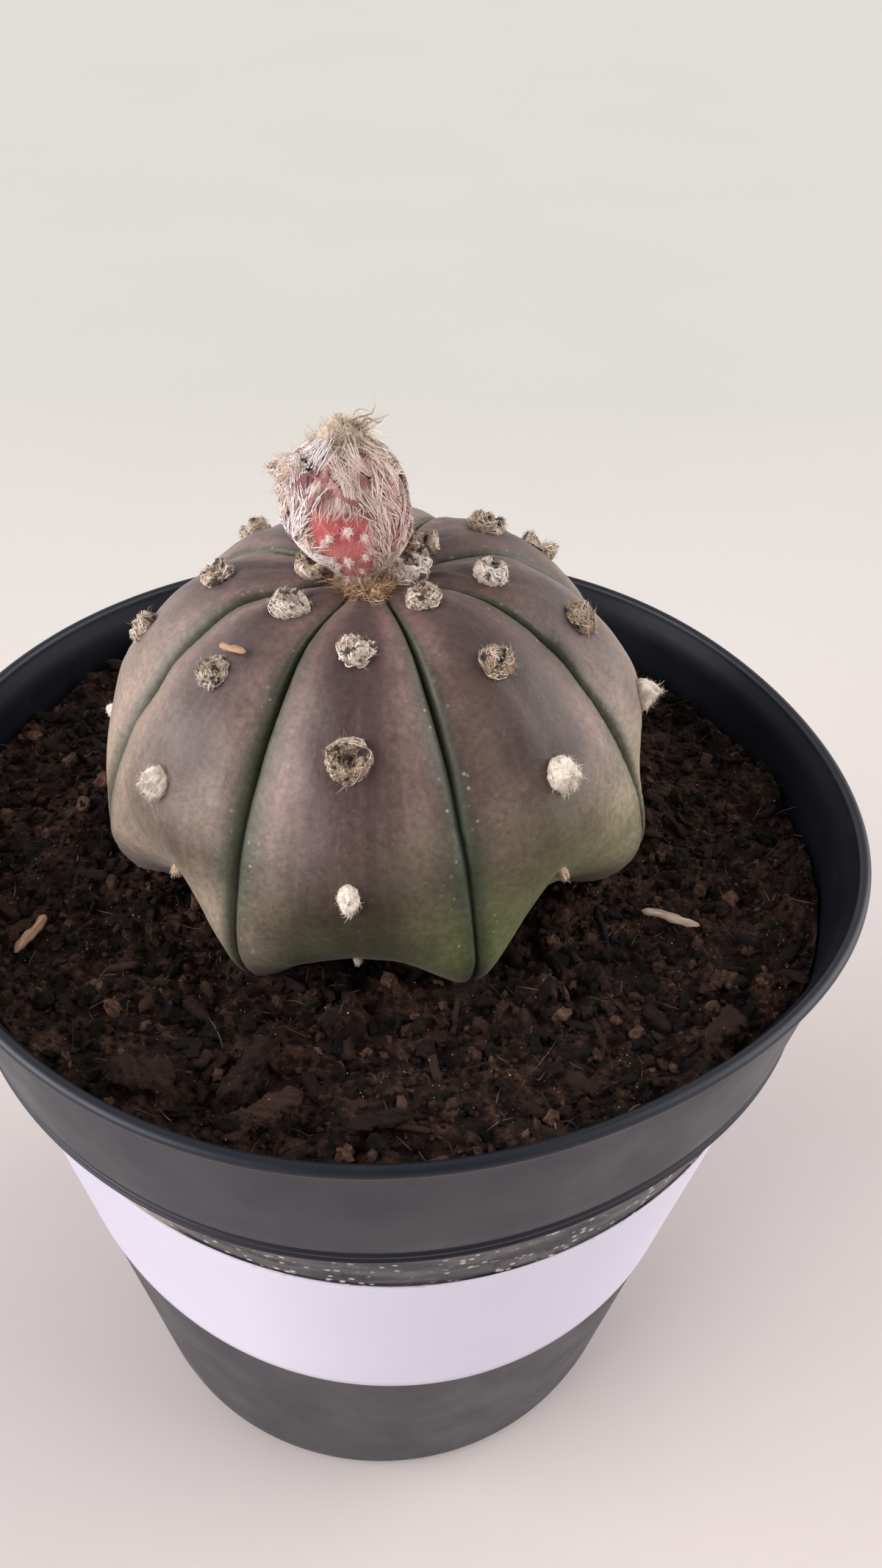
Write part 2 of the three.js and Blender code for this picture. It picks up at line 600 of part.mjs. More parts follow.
function soilGeometry(random, clearance) {
  const rings = SOIL_TOP_RINGS;
  const wall = (height) => innerRadius(height) - GAP - 0.1;
  const sideHeights = [null, BAND_FOOT + 1.6, BAND_FOOT - 0.7, POT_FLOOR + GAP]; // the first follows the surface
  const rows = rings.length + sideHeights.length + 1;
  const jitter = rings.map(() => Array.from({ length: SOIL_COLUMNS }, () => random() - 0.5));
  const surface = (column, row) => {
    if (row === 0) return new THREE.Vector3(0, 0, soilHeight(0, 0));
    if (row === rows) return new THREE.Vector3(0, 0, POT_FLOOR + GAP);
    let azimuth = (360 * column) / SOIL_COLUMNS;
    if (row <= rings.length) {
      const nudge = row > 2 && row < rings.length ? jitter[row - 1][column] : 0;
      azimuth += (120 * nudge) / SOIL_COLUMNS;
      const radius = rings[row - 1] + 0.9 * nudge;
      const flat = azimuthDirection(azimuth).multiplyScalar(radius + outOfRound(azimuth, SOIL_LEVEL));
      return flat.setZ(soilHeight(flat.x, flat.y));
    }
    const edge = azimuthDirection(azimuth).multiplyScalar(wall(SOIL_LEVEL));
    const level = sideHeights[row - rings.length - 1] ?? soilHeight(edge.x, edge.y);
    return azimuthDirection(azimuth).multiplyScalar(wall(level) + outOfRound(azimuth, level)).setZ(level);
  };
  return geometryOf(solidOf(skin(SOIL_COLUMNS, rows, surface)).subtract(clearance));
}

// ---------------------------------------------------------------- label and tape

// Bends a flat strip onto the tapered wall: x runs along it, y across it from the label's lower edge, z off it.
function wrapOnWall(strip) {
  const taper = LOWER_SLOPE / Math.hypot(1, LOWER_SLOPE); // sine of the cone's half angle
  const apexDistance = (BASE_RADIUS + LOWER_SLOPE * LABEL_BOTTOM) / taper;
  const highest = (SHOULDER_RADIUS - LOWER_SLOPE * 0.7) / taper;
  const position = strip.getAttribute("position");
  for (let i = 0; i < position.count; i++) {
    const along = position.getX(i);
    const up = apexDistance + position.getY(i);
    const distance = Math.min(Math.hypot(along, up), highest);
    const azimuth = LABEL_AXIS_AZIMUTH + THREE.MathUtils.radToDeg(Math.atan2(along, up) / taper);
    const height = (distance * taper - BASE_RADIUS) / LOWER_SLOPE;
    const radius = distance * taper + outOfRound(azimuth, height) + position.getZ(i);
    position.setXYZ(i, radius * Math.cos(radians(azimuth)), radius * Math.sin(radians(azimuth)), height);
  }
  return strip;
}

// How far along the developed strip an azimuth lies, measured from the strip's lowest place.
function alongStrip(turn) {
  const taper = LOWER_SLOPE / Math.hypot(1, LOWER_SLOPE);
  return ((BASE_RADIUS + LOWER_SLOPE * LABEL_BOTTOM) / taper) * Math.tan(radians(turn) * taper);
}

function stripGeometry(ends, low, width, standOff, steps) {
  const [from, to] = ends.map(alongStrip);
  const strip = new THREE.BoxGeometry(to - from, width, PAPER, steps, 2, 1);
  strip.translate((from + to) / 2, low + width / 2, standOff + PAPER / 2);
  return wrapOnWall(strip);
}

// ---------------------------------------------------------------- wood slivers

function sliverGeometry(length, width, random) {
  const sides = 6;
  return skin(sides, 6, (column, row) => {
    const t = row / 6;
    const angle = (2 * Math.PI * column) / sides;
    const girth = row === 0 || row === 6 ? 0 : width * (0.35 + 0.3 * Math.sin(Math.PI * t)) * lerp(0.85, 1.15, random());
    return new THREE.Vector3(
      girth * Math.cos(angle),
      0.62 * girth * Math.sin(angle) + 0.25 * Math.sin(2 * Math.PI * t),
      length * (0.5 - t),
    );
  });
}

function sliverOnSoil({ name, x, y, azimuth, length, width, pitch }, random) {
  const along = azimuthDirection(azimuth).setZ(Math.tan(radians(pitch)));
  const geometry = sliverGeometry(length, width, random);
  // The highest soil under it carries it.
  let rest = -Infinity;
  for (let s = -0.5; s <= 0.5; s += 0.05) {
    for (const w of [-0.5, 0, 0.5]) {
      const px = x + along.x * s * length - along.y * w * width;
      const py = y + along.y * s * length + along.x * w * width;
      rest = Math.max(rest, soilHeight(px, py) - along.z * s * length);
    }
  }
  const place = new THREE.Vector3(x, y, rest + GAP + 0.45 * width);
  return named(name, stand(geometry, place, along, new THREE.Vector3(0, 0, 1)), COLOURS.wood, 0.8);
}

function sliverOnRib({ name, station, azimuth, length, width }, random) {
  const point = bodyPoint(azimuth, station);
  const down = bodyPoint(azimuth, station + 0.1).sub(bodyPoint(azimuth, station - 0.1));
  const across = bodyPoint(azimuth + 3, station).sub(bodyPoint(azimuth - 3, station));
  const normal = new THREE.Vector3().crossVectors(down, across).normalize();
  const along = across.normalize().addScaledVector(down.normalize(), -0.13);
  const place = point.addScaledVector(normal, GAP + 0.55 * width);
  return named(name, stand(sliverGeometry(length, width, random), place, along, normal), COLOURS.wood, 0.8);
}

// ---------------------------------------------------------------- assembly

function cactusSolid(random) {
  const whole = joined([
    bodySkin(BODY_ROWS, RIB_COLUMNS, 0),
    rootGeometry(0),
    ...areoleGeometries(random),
    ...crownTuftGeometries(random),
  ]);
  // The foot of the fruit stands in the wool with a little play all round.
  return whole.subtract(solidOf(stalkGeometry(GAP))).subtract(solidOf(fruitSkin(18, 11, 2 * GAP)));
}

const soilClearance = joined([bodySkin(BODY_ROWS, IMPRINT_COLUMNS, GAP + 0.2), rootGeometry(GAP), ...lowTuftRoom()]);

const group = new THREE.Group();
group.add(
  named("pot", potGeometry(), COLOURS.pot, 0.5),
  named("soil", soilGeometry(seededRandom(11), soilClearance), COLOURS.soil, 0.95),
  named("cactus_body", geometryOf(cactusSolid(seededRandom(23))), COLOURS.cactus, 0.6),
  named("fruit", fruitGeometry(seededRandom(31)), COLOURS.fruit, 0.85),
  named("flower_remains", remainsGeometry(seededRandom(41)), COLOURS.remains, 0.9),
  named("label", stripGeometry(LABEL_ENDS, 0, LABEL_WIDTH, GAP, 40), COLOURS.paper, 0.7),
  named(
    "clear_tape",
    stripGeometry(TAPE_ENDS, LABEL_WIDTH - TAPE_LAP, TAPE_WIDTH, 2 * GAP + PAPER, 26),
    COLOURS.tape,
    0.2,
  ),
);
const sliverRandom = seededRandom(53);
WOOD_SLIVERS.forEach((sliver) => group.add(sliverOnSoil(sliver, sliverRandom)));
group.add(sliverOnRib(RIB_SLIVER, sliverRandom));

export default group;
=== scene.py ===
"""Dresses the potted star cactus: pot, soil, ribbed body, wool, fruit, label, floor, light and camera.

Lengths are millimetres until a mesh is made, in the part's own frame: origin at the centre of the pot's base,
+Z up, -Y to the front. Azimuths are degrees counter-clockwise from +X.
"""

import math

import bmesh
import bpy
import numpy as np
from mathutils import Matrix, Vector
from mathutils.bvhtree import BVHTree


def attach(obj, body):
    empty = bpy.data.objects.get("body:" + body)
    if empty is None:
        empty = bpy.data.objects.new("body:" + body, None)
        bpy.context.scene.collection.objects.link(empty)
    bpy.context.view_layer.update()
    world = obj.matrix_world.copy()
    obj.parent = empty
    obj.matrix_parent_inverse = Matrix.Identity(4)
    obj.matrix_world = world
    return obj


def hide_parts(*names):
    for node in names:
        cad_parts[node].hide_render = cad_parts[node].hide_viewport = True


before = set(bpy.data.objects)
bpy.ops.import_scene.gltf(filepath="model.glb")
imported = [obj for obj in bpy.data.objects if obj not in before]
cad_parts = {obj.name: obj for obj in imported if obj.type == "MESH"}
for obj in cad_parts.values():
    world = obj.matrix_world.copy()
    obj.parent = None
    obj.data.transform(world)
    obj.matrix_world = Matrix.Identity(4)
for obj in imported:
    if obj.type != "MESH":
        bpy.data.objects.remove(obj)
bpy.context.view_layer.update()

MM = 0.001
UP = np.array([0, 0, 1.0])
GOLDEN_ANGLE = 137.508

# ---------------------------------------------------------------- sizes shared with the solids

POT_HEIGHT = 132.0
POT_WALL = 1.3
POT_FLOOR = 1.6
RIM_RADIUS = 75.0
BASE_RADIUS = 51.1
BAND_FOOT = 104.4
BAND_FOOT_RADIUS = 69.9
SHOULDER_RADIUS = 67.8
BAND_TOP_RADIUS = 73.8
LOWER_SLOPE = (SHOULDER_RADIUS - BASE_RADIUS) / BAND_FOOT
BAND_SLOPE = (BAND_TOP_RADIUS - BAND_FOOT_RADIUS) / (POT_HEIGHT - BAND_FOOT)
RIM_WAVES = [(4, 0.6, 80), (5, 0.37, 102)]  # lobes, height, phase
DRAIN_HOLES = 8
DRAIN_RADIUS = 4.5
DRAIN_RING = 38.0

SOIL_LEVEL = 120.4
SOIL_TILT = 2.0
SOIL_TILT_AZIMUTH = 165
# x, y, half length, half width, rise, azimuth of each bark piece and clod
SOIL_LUMPS = [
    (-18.5, -51.5, 7.5, 1.7, 2.4, 63), (-16.5, -60.2, 6.0, 1.9, 2.6, 32), (-1.0, -61.4, 4.6, 1.2, 1.7, 16),
    (-6.1, -42.6, 3.3, 2.9, 2.6, 10), (64.6, 11.5, 5.6, 4.4, 2.8, 80), (66.2, -15.0, 4.2, 3.2, 2.2, 70),
    (22.0, -36.5, 3.8, 3.0, 2.2, 20), (17.9, -41.5, 2.8, 2.4, 1.8, 0), (-26.0, -64.8, 5.0, 1.3, 2.4, 152),
    (-1.0, -66.8, 2.8, 2.4, 2.2, 15), (-32.6, -54.6, 4.4, 3.0, 1.8, 170), (-46.0, 48.0, 5.2, 2.6, 2.2, 130),
    (20.0, 62.0, 6.0, 2.2, 2.0, 12), (48.0, -44.0, 3.6, 2.4, 1.8, 40),
]

BODY_CENTRE = np.array([-1.4, 2.2, 128.0])
BODY_LEAN = (-0.052, -0.035)
RIBS = 8
RIB_PITCH = 45.0
SWELL_MERIDIAN = np.array([
    (0, 37.5), (8.5, 39.5), (19.1, 39.0), (27.8, 33.4), (35.6, 24.9), (41.3, 15.0), (44.4, 3.9),
    (42.6, -3.6), (38.4, -7.6), (32.0, -9.0), (21.0, -9.2), (10.0, -9.2), (0, -9.2),
])
AREOLE_MERIDIAN = np.array([
    (0, 37.5), (8.6, 40.3), (19.4, 39.7), (29.4, 34.9), (37.7, 26.4), (41.9, 15.2), (38.8, 3.4),
    (31.0, -1.8), (22.5, -4.2), (18.5, -5.8), (14.5, -7.4), (9.0, -9.0), (0, -9.2),
])
GROOVE_DEPTHS = [0, 2.2, 2.8, 2.4, 1.8, 1.8, 1.8, 1.8, 1.6, 1.0, 0.3, 0, 0]
FOOT_FULLNESS = np.array([-3, 0, 0, 0.5, 1.4, -1.1, 2.8, -0.9])
RIB_TWIST = [-7.1, -4.4, -4.5, -5.5, -5.9, -4.5, -4.3, -3.5]
GROOVE_TWIST = [-4.6, -4.5, -4.7, -4.2, -4.2, -4.8, -4.2, -1.2]
LAST_STATION = len(SWELL_MERIDIAN) - 1
SHOULDER_STATION = 3.2
AREOLE_STATIONS = [
    (0.7, 1.82, 3.17, 4.53, 5.7), (1.14, 2.36, 3.57, 4.87, 5.9), (1.14, 2.57, 4.0, 5.47),
    (1.71, 3.17, 4.6, 5.93), (1.0, 2.32, 3.7, 5.19, 6.1), (1.54, 2.86, 4.32, 5.75),
    (2.02, 3.41, 4.9, 6.25), (1.29, 2.64, 4.13, 5.6),
]
AREOLE_SIZES = [(0.7, 6.4), (2.0, 6.6), (3.4, 7.0), (4.2, 5.6), (4.9, 4.4), (5.6, 2.6), (6.3, 1.8)]
YOUNG_STATION = 4.1

FRUIT_FOOT = np.array([-5.2, 0.8, 166.7])
FRUIT_HEIGHT = 19.8
FRUIT_PROFILE = np.array([
    (0, 2.2), (0.08, 3.2), (0.18, 4.7), (0.3, 6.8), (0.44, 8.3), (0.6, 8.4), (0.78, 7.8), (0.92, 6.3),
    (1, 5.2),
])
FRUIT_BEND = -2.1
STALK_RADIUS = 2.2
REMAINS_RADIUS = 4.0

LABEL_AXIS_AZIMUTH = -57.0
LABEL_BOTTOM = 46.2
LABEL_WIDTH = 44.0
LABEL_ENDS = (-133, 67)
TAPE_LAP = 8.0
TAPE_ENDS = (-78, 50)
TAPE_WIDTH = 26.0

# ---------------------------------------------------------------- finer features, by rib and place down it

AREOLE_TONES = {  # how much paler or browner an old areole is
    (6, 0): -0.02, (6, 1): -0.2, (7, 0): -0.06, (7, 1): -0.27,
    (5, 0): 0.04, (5, 1): -0.12, (0, 0): 0.1, (0, 1): 0.14,
}
AREOLE_GROWTH = {(0, 0): 1.2, (5, 1): 0.84}  # the one that leans on the fruit, and the one beside the sliver
DOMED_AREOLES = ((6, 0), (7, 1), (5, 1), (0, 2))  # domes of felt, where other old ones are open rings
BARE_PATCH = (-93, 33, 0.03, 0.74)  # azimuth, half width, lowest and highest share of the fruit's height

# ---------------------------------------------------------------- numbers


def smoothstep(x, low, high):
    t = np.clip((np.asarray(x, float) - low) / (high - low), 0, 1)
    return t * t * (3 - 2 * t)


def mix(a, b, t):
    return a + (b - a) * t


def table(rows, place):
    xs, ys = zip(*rows)
    return np.interp(place, xs, ys)


def directions(azimuth):
    a = np.radians(azimuth)
    return np.stack([np.cos(a), np.sin(a), np.zeros_like(a)], -1)


def turned(azimuth, radius, height):
    """Points round the upright axis, at those azimuths, radii and heights."""
    points = directions(azimuth) * np.asarray(radius)[..., None]
    points[..., 2] = height
    return points


def unit(v):
    return v / np.maximum(np.linalg.norm(v, axis=-1, keepdims=True), 1e-9)


def hash01(*cells):
    """A repeatable random number from 0 to 1 for each lattice cell."""
    s = np.sin(sum(c * k for c, k in zip(cells, (127.1, 311.7, 74.7)))) * 43758.5453
    return s - np.floor(s)


def lattice_noise(x, y):
    """Smooth noise from -1 to 1 with cells 1 across."""
    i, j = np.floor(x), np.floor(y)
    u, v = smoothstep(x - i, 0, 1), smoothstep(y - j, 0, 1)
    low = mix(hash01(i, j), hash01(i + 1, j), u)
    high = mix(hash01(i, j + 1), hash01(i + 1, j + 1), u)
    return 2 * mix(low, high, v) - 1


def clumps(x, y, size, seed):
    """Rounded grains on a jittered lattice: height, 0 in the gaps to 1 on top, and each one's own number."""
    x, y = x / size + seed, y / size - seed
    i, j = np.floor(x), np.floor(y)
    nearest = np.full(np.shape(x), 9.0)
    own = np.zeros(np.shape(x))
    for a, b in [(i + di, j + dj) for di in (-1, 0, 1) for dj in (-1, 0, 1)]:
        grown = 0.75 + 0.5 * hash01(a, b, 3)
        d = np.hypot(x - (a + hash01(a, b, 1)), y - (b + hash01(a, b, 2))) / grown
        closer = d < nearest
        nearest = np.where(closer, d, nearest)
        own = np.where(closer, hash01(a, b, 4), own)
    return np.sqrt(np.clip(1 - nearest**2, 0, 1)) * (0.4 + 0.6 * own), own


def catmull(points, place):
    """A smooth curve through points, at place counted in points."""
    last = len(points) - 1
    place = np.clip(np.asarray(place, float), 0, last)
    i = np.minimum(np.floor(place).astype(int), last - 1)
    t = (place - i)[..., None]
    p0, p1 = points[np.maximum(i - 1, 0)], points[i]
    p2, p3 = points[i + 1], points[np.minimum(i + 2, last)]
    v0, v1 = (p2 - p0) / 2, (p3 - p1) / 2
    return (2 * p1 - 2 * p2 + v0 + v1) * t**3 + (3 * p2 - 3 * p1 - 2 * v0 - v1) * t**2 + v0 * t + p1


# ---------------------------------------------------------------- meshes


def mesh_object(name, points, faces, values=None, smooth=True):
    """An object from points in millimetres and faces of 3 or 4 corners. values are kept at each point."""
    faces = np.asarray(faces, np.int32)
    mesh = bpy.data.meshes.new(name)
    mesh.vertices.add(points.size // 3)
    mesh.vertices.foreach_set("co", (np.asarray(points, np.float32) * MM).ravel())
    mesh.loops.add(faces.size)
    mesh.loops.foreach_set("vertex_index", faces.ravel())
    mesh.polygons.add(len(faces))
    mesh.polygons.foreach_set("loop_start", np.arange(0, faces.size, faces.shape[1], dtype=np.int32))
    mesh.polygons.foreach_set("use_smooth", np.full(len(faces), smooth))
    for key, value in (values or {}).items():
        vector = value.size == points.size
        attribute = mesh.attributes.new(key, "FLOAT_VECTOR" if vector else "FLOAT", "POINT")
        attribute.data.foreach_set("vector" if vector else "value", np.asarray(value, np.float32).ravel())
    mesh.update(calc_edges=True)
    mesh.validate()
    return linked(name, mesh)


def linked(name, data):
    made = bpy.data.objects.new(name, data)
    bpy.context.scene.collection.objects.link(made)
    return made


def grid_faces(rows, columns, closed):
    """Quads of a grid of points kept row by row. closed joins the last column to the first."""
    span = columns if closed else columns - 1
    r, c = np.meshgrid(np.arange(rows - 1), np.arange(span), indexing="ij")
    n = (c + 1) % columns
    corners = [r * columns + c, (r + 1) * columns + c, (r + 1) * columns + n, r * columns + n]
    return np.stack(corners, -1).reshape(-1, 4)


def ring_faces(rings, flipped=False):
    """Quads of closed rings of points. flipped turns them over."""
    faces = grid_faces(*rings.shape[:2], True)
    return faces[:, ::-1] if flipped else faces


class Heap:
    """Many small shapes gathered into one mesh."""

    def __init__(self):
        self.points, self.faces, self.values, self.count = [], [], {}, 0

    def add(self, points, faces, **values):
        self.points.append(points)
        self.faces.append(faces + self.count)
        self.count += len(points)
        for key, value in values.items():
            whole = np.broadcast_to(value, (len(points),) + np.shape(value)[1:])
            self.values.setdefault(key, []).append(whole)

    def made(self, name, smooth=True):
        values = {key: np.concatenate(parts) for key, parts in self.values.items()}
        return mesh_object(name, np.concatenate(self.points), np.concatenate(self.faces), values, smooth)


def add_strips(heap, path, half, tone, tip):
    """Flat strips along paths. tone is each strip's number, tip the numbers along every strip or each one."""
    count, rows = path.shape[:2]
    points = np.stack([path - half, path + half], 2).reshape(-1, 3)
    base = (np.arange(count) * 2 * rows)[:, None, None]
    step = (2 * np.arange(rows - 1))[:, None]
    faces = (base + step + np.array([0, 1, 3, 2])).reshape(-1, 4)
    tip = np.broadcast_to(tip, (count, rows)).ravel()
    heap.add(points, faces, tone=np.repeat(tone, 2 * rows), tip=np.repeat(tip, 2))


def ribbons(heap, roots, along, length, width, bend, random, steps=4, lift=None):
    """Fibres: flat curved strips from roots, going along, that bow by bend and narrow to a point."""
    n = len(roots)
    s = np.linspace(0, 1, steps + 1)[None, :, None]
    length, width = (np.broadcast_to(v, n)[:, None, None] for v in (length, width))
    wiggle = random.normal(0, 1, (n, 3))[:, None, :] * 0.10 * length
    wiggle = wiggle * np.sin(2 * np.pi * s * random.uniform(0.4, 1.1, (n, 1, 1)))
    path = roots[:, None, :] + unit(along)[:, None, :] * length * s
    path = path + bend[:, None, :] * length * s**2 + wiggle
    side = unit(np.cross(along, random.normal(0, 1, (n, 3))))
    half = side[:, None, :] * (width / 2) * (1 - 0.85 * s**2)
    # tip runs from the root to the end; the wool's material paints shade where it is low.
    tip = s[0, :, 0]
    if lift is not None:
        tip = lift[:, None] * (0.55 + 0.45 * tip)
    add_strips(heap, path, half, random.uniform(0, 1, n), tip)


def hairs(heap, random, roots, lean, jitter, length, width, bow, steps=4):
    """Fibres that lean one way. jitter and bow spread their way and bend, length and width are ranges."""
    n = len(roots)
    along = lean + random.normal(0, jitter, (n, 3))
    length, width = random.uniform(*length, n), random.uniform(*width, n)
    ribbons(heap, roots, along, length, width, random.normal(0, bow, (n, 3)), random, steps)


def icosphere(steps):
    """Points and triangles of a ball 1 across."""
    bm = bmesh.new()
    bmesh.ops.create_icosphere(bm, subdivisions=steps, radius=0.5)
    points = np.array([v.co[:] for v in bm.verts])
    faces = np.array([[v.index for v in f.verts] for f in bm.faces])
    bm.free()
    return points, faces


def rotations(random, n):
    """n random rotation matrices."""
    w, x, y, z = unit(random.normal(0, 1, (n, 4))).T
    rows = [
        [1 - 2 * (y * y + z * z), 2 * (x * y - z * w), 2 * (x * z + y * w)],
        [2 * (x * y + z * w), 1 - 2 * (x * x + z * z), 2 * (y * z - x * w)],
        [2 * (x * z - y * w), 2 * (y * z + x * w), 1 - 2 * (x * x + y * y)],
    ]
    return np.array(rows).transpose(2, 0, 1)


def pebbles(heap, random, places, size, steps, flatness=0.6, **values):
    """Lumpy stones and crumbs at places. values holds a number for each stone."""
    points, faces = icosphere(steps)
    n, corners = len(places), len(points)
    lump = 1 + 0.7 * (random.uniform(0, 1, (n, corners, 1)) - 0.5)
    squash = random.uniform(flatness, 1, (n, 1, 3)) * np.array([1.25, 1.0, 0.85])
    stones = points[None] * lump * squash * np.broadcast_to(size, n)[:, None, None]
    stones = np.einsum("nij,nkj->nki", rotations(random, n), stones) + places[:, None, :]
    faces = (faces[None] + (np.arange(n) * corners)[:, None, None]).reshape(-1, 3)
    values = {key: np.repeat(np.broadcast_to(value, n), corners) for key, value in values.items()}
    heap.add(stones.reshape(-1, 3), faces, **values)


# ---------------------------------------------------------------- materials


def linear(tone):
    """The linear colour of a grey from 0 to 1, or of red, green and blue on a screen from 0 to 255."""
    if isinstance(tone, (int, float)):
        return (tone, tone, tone, 1)
    return (*(((c / 255 + 0.055) / 1.055) ** 2.4 if c > 10 else c / 255 / 12.92 for c in tone), 1)


class Value:
    """What a node puts out. Sums, products and ramps of it are nodes too."""

    def __init__(self, nodes, socket):
        self.nodes, self.socket = nodes, socket

    def __add__(self, other):
        return self.nodes.math("ADD", self, other)

    def __sub__(self, other):
        return self.nodes.math("SUBTRACT", self, other)

    def __mul__(self, other):
        return self.nodes.math("MULTIPLY", self, other)

    def __truediv__(self, other):
        return self.nodes.math("DIVIDE", self, other)

    def most(self, other):
        return self.nodes.math("MAXIMUM", self, other)

    def axis(self, name):
        return self.nodes.put("ShaderNodeSeparateXYZ", name, {"Vector": self})

    def stretched(self, *scale, turn=(0, 0, 0)):
        inputs = {"Vector": self, "Rotation": turn, "Scale": scale}
        return self.nodes.put("ShaderNodeMapping", "Vector", inputs)

    def noise(self, scale, detail=4.0, roughness=0.55, distortion=0.0):
        inputs = {"Vector": self, "Scale": scale, "Detail": detail, "Roughness": roughness}
        return self.nodes.put("ShaderNodeTexNoise", "Fac", {**inputs, "Distortion": distortion})

    def cells(self, scale):
        return self.nodes.put("ShaderNodeTexVoronoi", "Distance", {"Vector": self, "Scale": scale})

    def ramp(self, *stops):
        """Goes straight from one tone to the next. Each stop is a place from 0 to 1 and its tone."""
        made = self.nodes.put("ShaderNodeValToRGB", "Color", {"Fac": self})
        elements = made.socket.node.color_ramp.elements
        while len(elements) < len(stops):
            elements.new(0.5)
        for element, (place, tone) in zip(elements, stops):
            element.position = place
            element.color = linear(tone)
        return made

    def rise(self, start, end, low=0.0, high=1.0):
        return self.ramp((start, low), (end, high))

    def fall(self, start, end, high=1.0, low=0.0):
        return self.ramp((start, high), (end, low))


class Nodes:
    """Builds a node tree."""

    def __init__(self, tree):
        self.tree = tree

    def join(self, value, socket):
        if isinstance(value, Value):
            self.tree.links.new(value.socket, socket)
        else:
            socket.default_value = value

    def put(self, kind, output, inputs=None, **settings):
        """Adds a node and gives its output. inputs go by the sockets' names or numbers."""
        node = self.tree.nodes.new(kind)
        for key, value in settings.items():
            setattr(node, key, value)
        for key, value in (inputs or {}).items():
            self.join(value, node.inputs[key])
        return Value(self, node.outputs[output])

    def math(self, operation, a, b, clamp=False):
        return self.put("ShaderNodeMath", 0, {0: a, 1: b}, operation=operation, use_clamp=clamp)


class Material(Nodes):
    """Builds one material."""

    def __init__(self, name):
        self.material = bpy.data.materials.new(name)
        self.material.use_nodes = True
        super().__init__(self.material.node_tree)
        self.shader = self.tree.nodes["Principled BSDF"]

    def place(self):
        return self.put("ShaderNodeTexCoord", "Object")

    def value(self, name):
        return self.put("ShaderNodeAttribute", "Fac", attribute_name=name)

    def vector(self, name):
        return self.put("ShaderNodeAttribute", "Vector", attribute_name=name)

    def mix(self, factor, under, over, blend="MIX"):
        """Lays over on under, as far as factor says."""
        under, over = (linear(tone) if isinstance(tone, tuple) else tone for tone in (under, over))
        inputs = {0: factor, 6: under, 7: over}
        return self.put("ShaderNodeMix", 2, inputs, data_type="RGBA", blend_type=blend)

    def bump(self, height, strength, distance):
        inputs = {"Height": height, "Strength": strength, "Distance": distance}
        return self.put("ShaderNodeBump", "Normal", inputs)

    def finish(self, colour, rough, normal, **inputs):
        inputs = {"Base_Color": colour, "Roughness": rough, "Normal": normal, **inputs}
        for key, value in inputs.items():
            self.join(value, self.shader.inputs[key.replace("_", " ")])
        return self.material


def dress(made, material, slot, *nodes):
    """Gives an object its material, on the part's one body. slot is not used. nodes are the solids it
    replaces.
    """
    made.data.materials.clear()
    made.data.materials.append(material)
    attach(made, "root")
    if nodes:
        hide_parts(*nodes)
    return made


# ---------------------------------------------------------------- pot


def out_of_round(azimuth, height):
    """How far the soft pot bulges there. It grows with the height."""
    fade = np.clip(np.asarray(height, float) / POT_HEIGHT, 0, 1) ** 2
    return fade * sum(h * np.cos(np.radians(n * azimuth + p)) for n, h, p in RIM_WAVES)


def outer_radius(height):
    lower = BASE_RADIUS + LOWER_SLOPE * height
    return np.where(height < BAND_FOOT, lower, BAND_FOOT_RADIUS + BAND_SLOPE * (height - BAND_FOOT))


def inner_radius(height):
    height = np.asarray(height, float)
    height = np.where(height < BAND_FOOT + 0.8, np.minimum(height, BAND_FOOT - 0.5), height)
    return outer_radius(height) - POT_WALL


def arc(centre, radius, start, end, steps):
    """Points of a round corner in the profile, from start to end degrees."""
    a = np.radians(np.linspace(start, end, steps))
    return [(centre[0] + radius * math.cos(t), centre[1] + radius * math.sin(t)) for t in a]


def wall(radius_at, start, end, steps):
    return [(float(radius_at(z)), z) for z in np.linspace(start, end, steps)]


def pot_profile():
    """Radius and height from the middle of the base, up the outside, over the rim and down the inside."""
    top = POT_HEIGHT
    lip = BAND_FOOT_RADIUS
    under = top - 2.1
    bead = 0.95
    return np.array(
        [(0, 0), (20, 0), (40, 0)]
        + arc((BASE_RADIUS - 1.0, 1.0), 1.0, -90, -9, 6)
        + [(BASE_RADIUS + LOWER_SLOPE * z, z) for z in np.linspace(3, BAND_FOOT - 0.5, 14)]
        + [(SHOULDER_RADIUS + 0.05, BAND_FOOT), (lip, BAND_FOOT)]
        + arc((lip - 0.05, BAND_FOOT + 0.4), 0.4, -80, 80, 5)
        + [(lip + 0.1, BAND_FOOT + 1.05), (lip + 0.16, BAND_FOOT + 1.25)]
        + arc((lip + 0.02, BAND_FOOT + 1.75), 0.42, -60, 80, 5)
        + [(lip + 0.22, BAND_FOOT + 2.4)]
        + wall(outer_radius, BAND_FOOT + 3.2, under - 0.8, 10)
        + [(float(outer_radius(under)) + 0.05, under)]
        + arc((RIM_RADIUS - bead, top - bead), bead, -70, 170, 12)
        + [(RIM_RADIUS - 2.0, top - 1.6)]
        + wall(inner_radius, top - 3, BAND_FOOT + 1.2, 8)
        + wall(inner_radius, BAND_FOOT - 0.5, POT_FLOOR + 0.6, 8)
        + [(float(inner_radius(POT_FLOOR)) - 1.0, POT_FLOOR), (20, POT_FLOOR), (0, POT_FLOOR)]
    )


def make_pot():
    r, z = pot_profile().T[..., None]
    azimuth = np.arange(288) * 1.25
    rings = turned(azimuth, r + out_of_round(azimuth, z) * (r > 1), z)
    made = mesh_object("pot_moulded", rings, ring_faces(rings, flipped=True))
    welded = bmesh.new()
    welded.from_mesh(made.data)
    bmesh.ops.remove_doubles(welded, verts=welded.verts, dist=1e-3 * MM)
    welded.to_mesh(made.data)
    welded.free()
    return cut_drains(made)


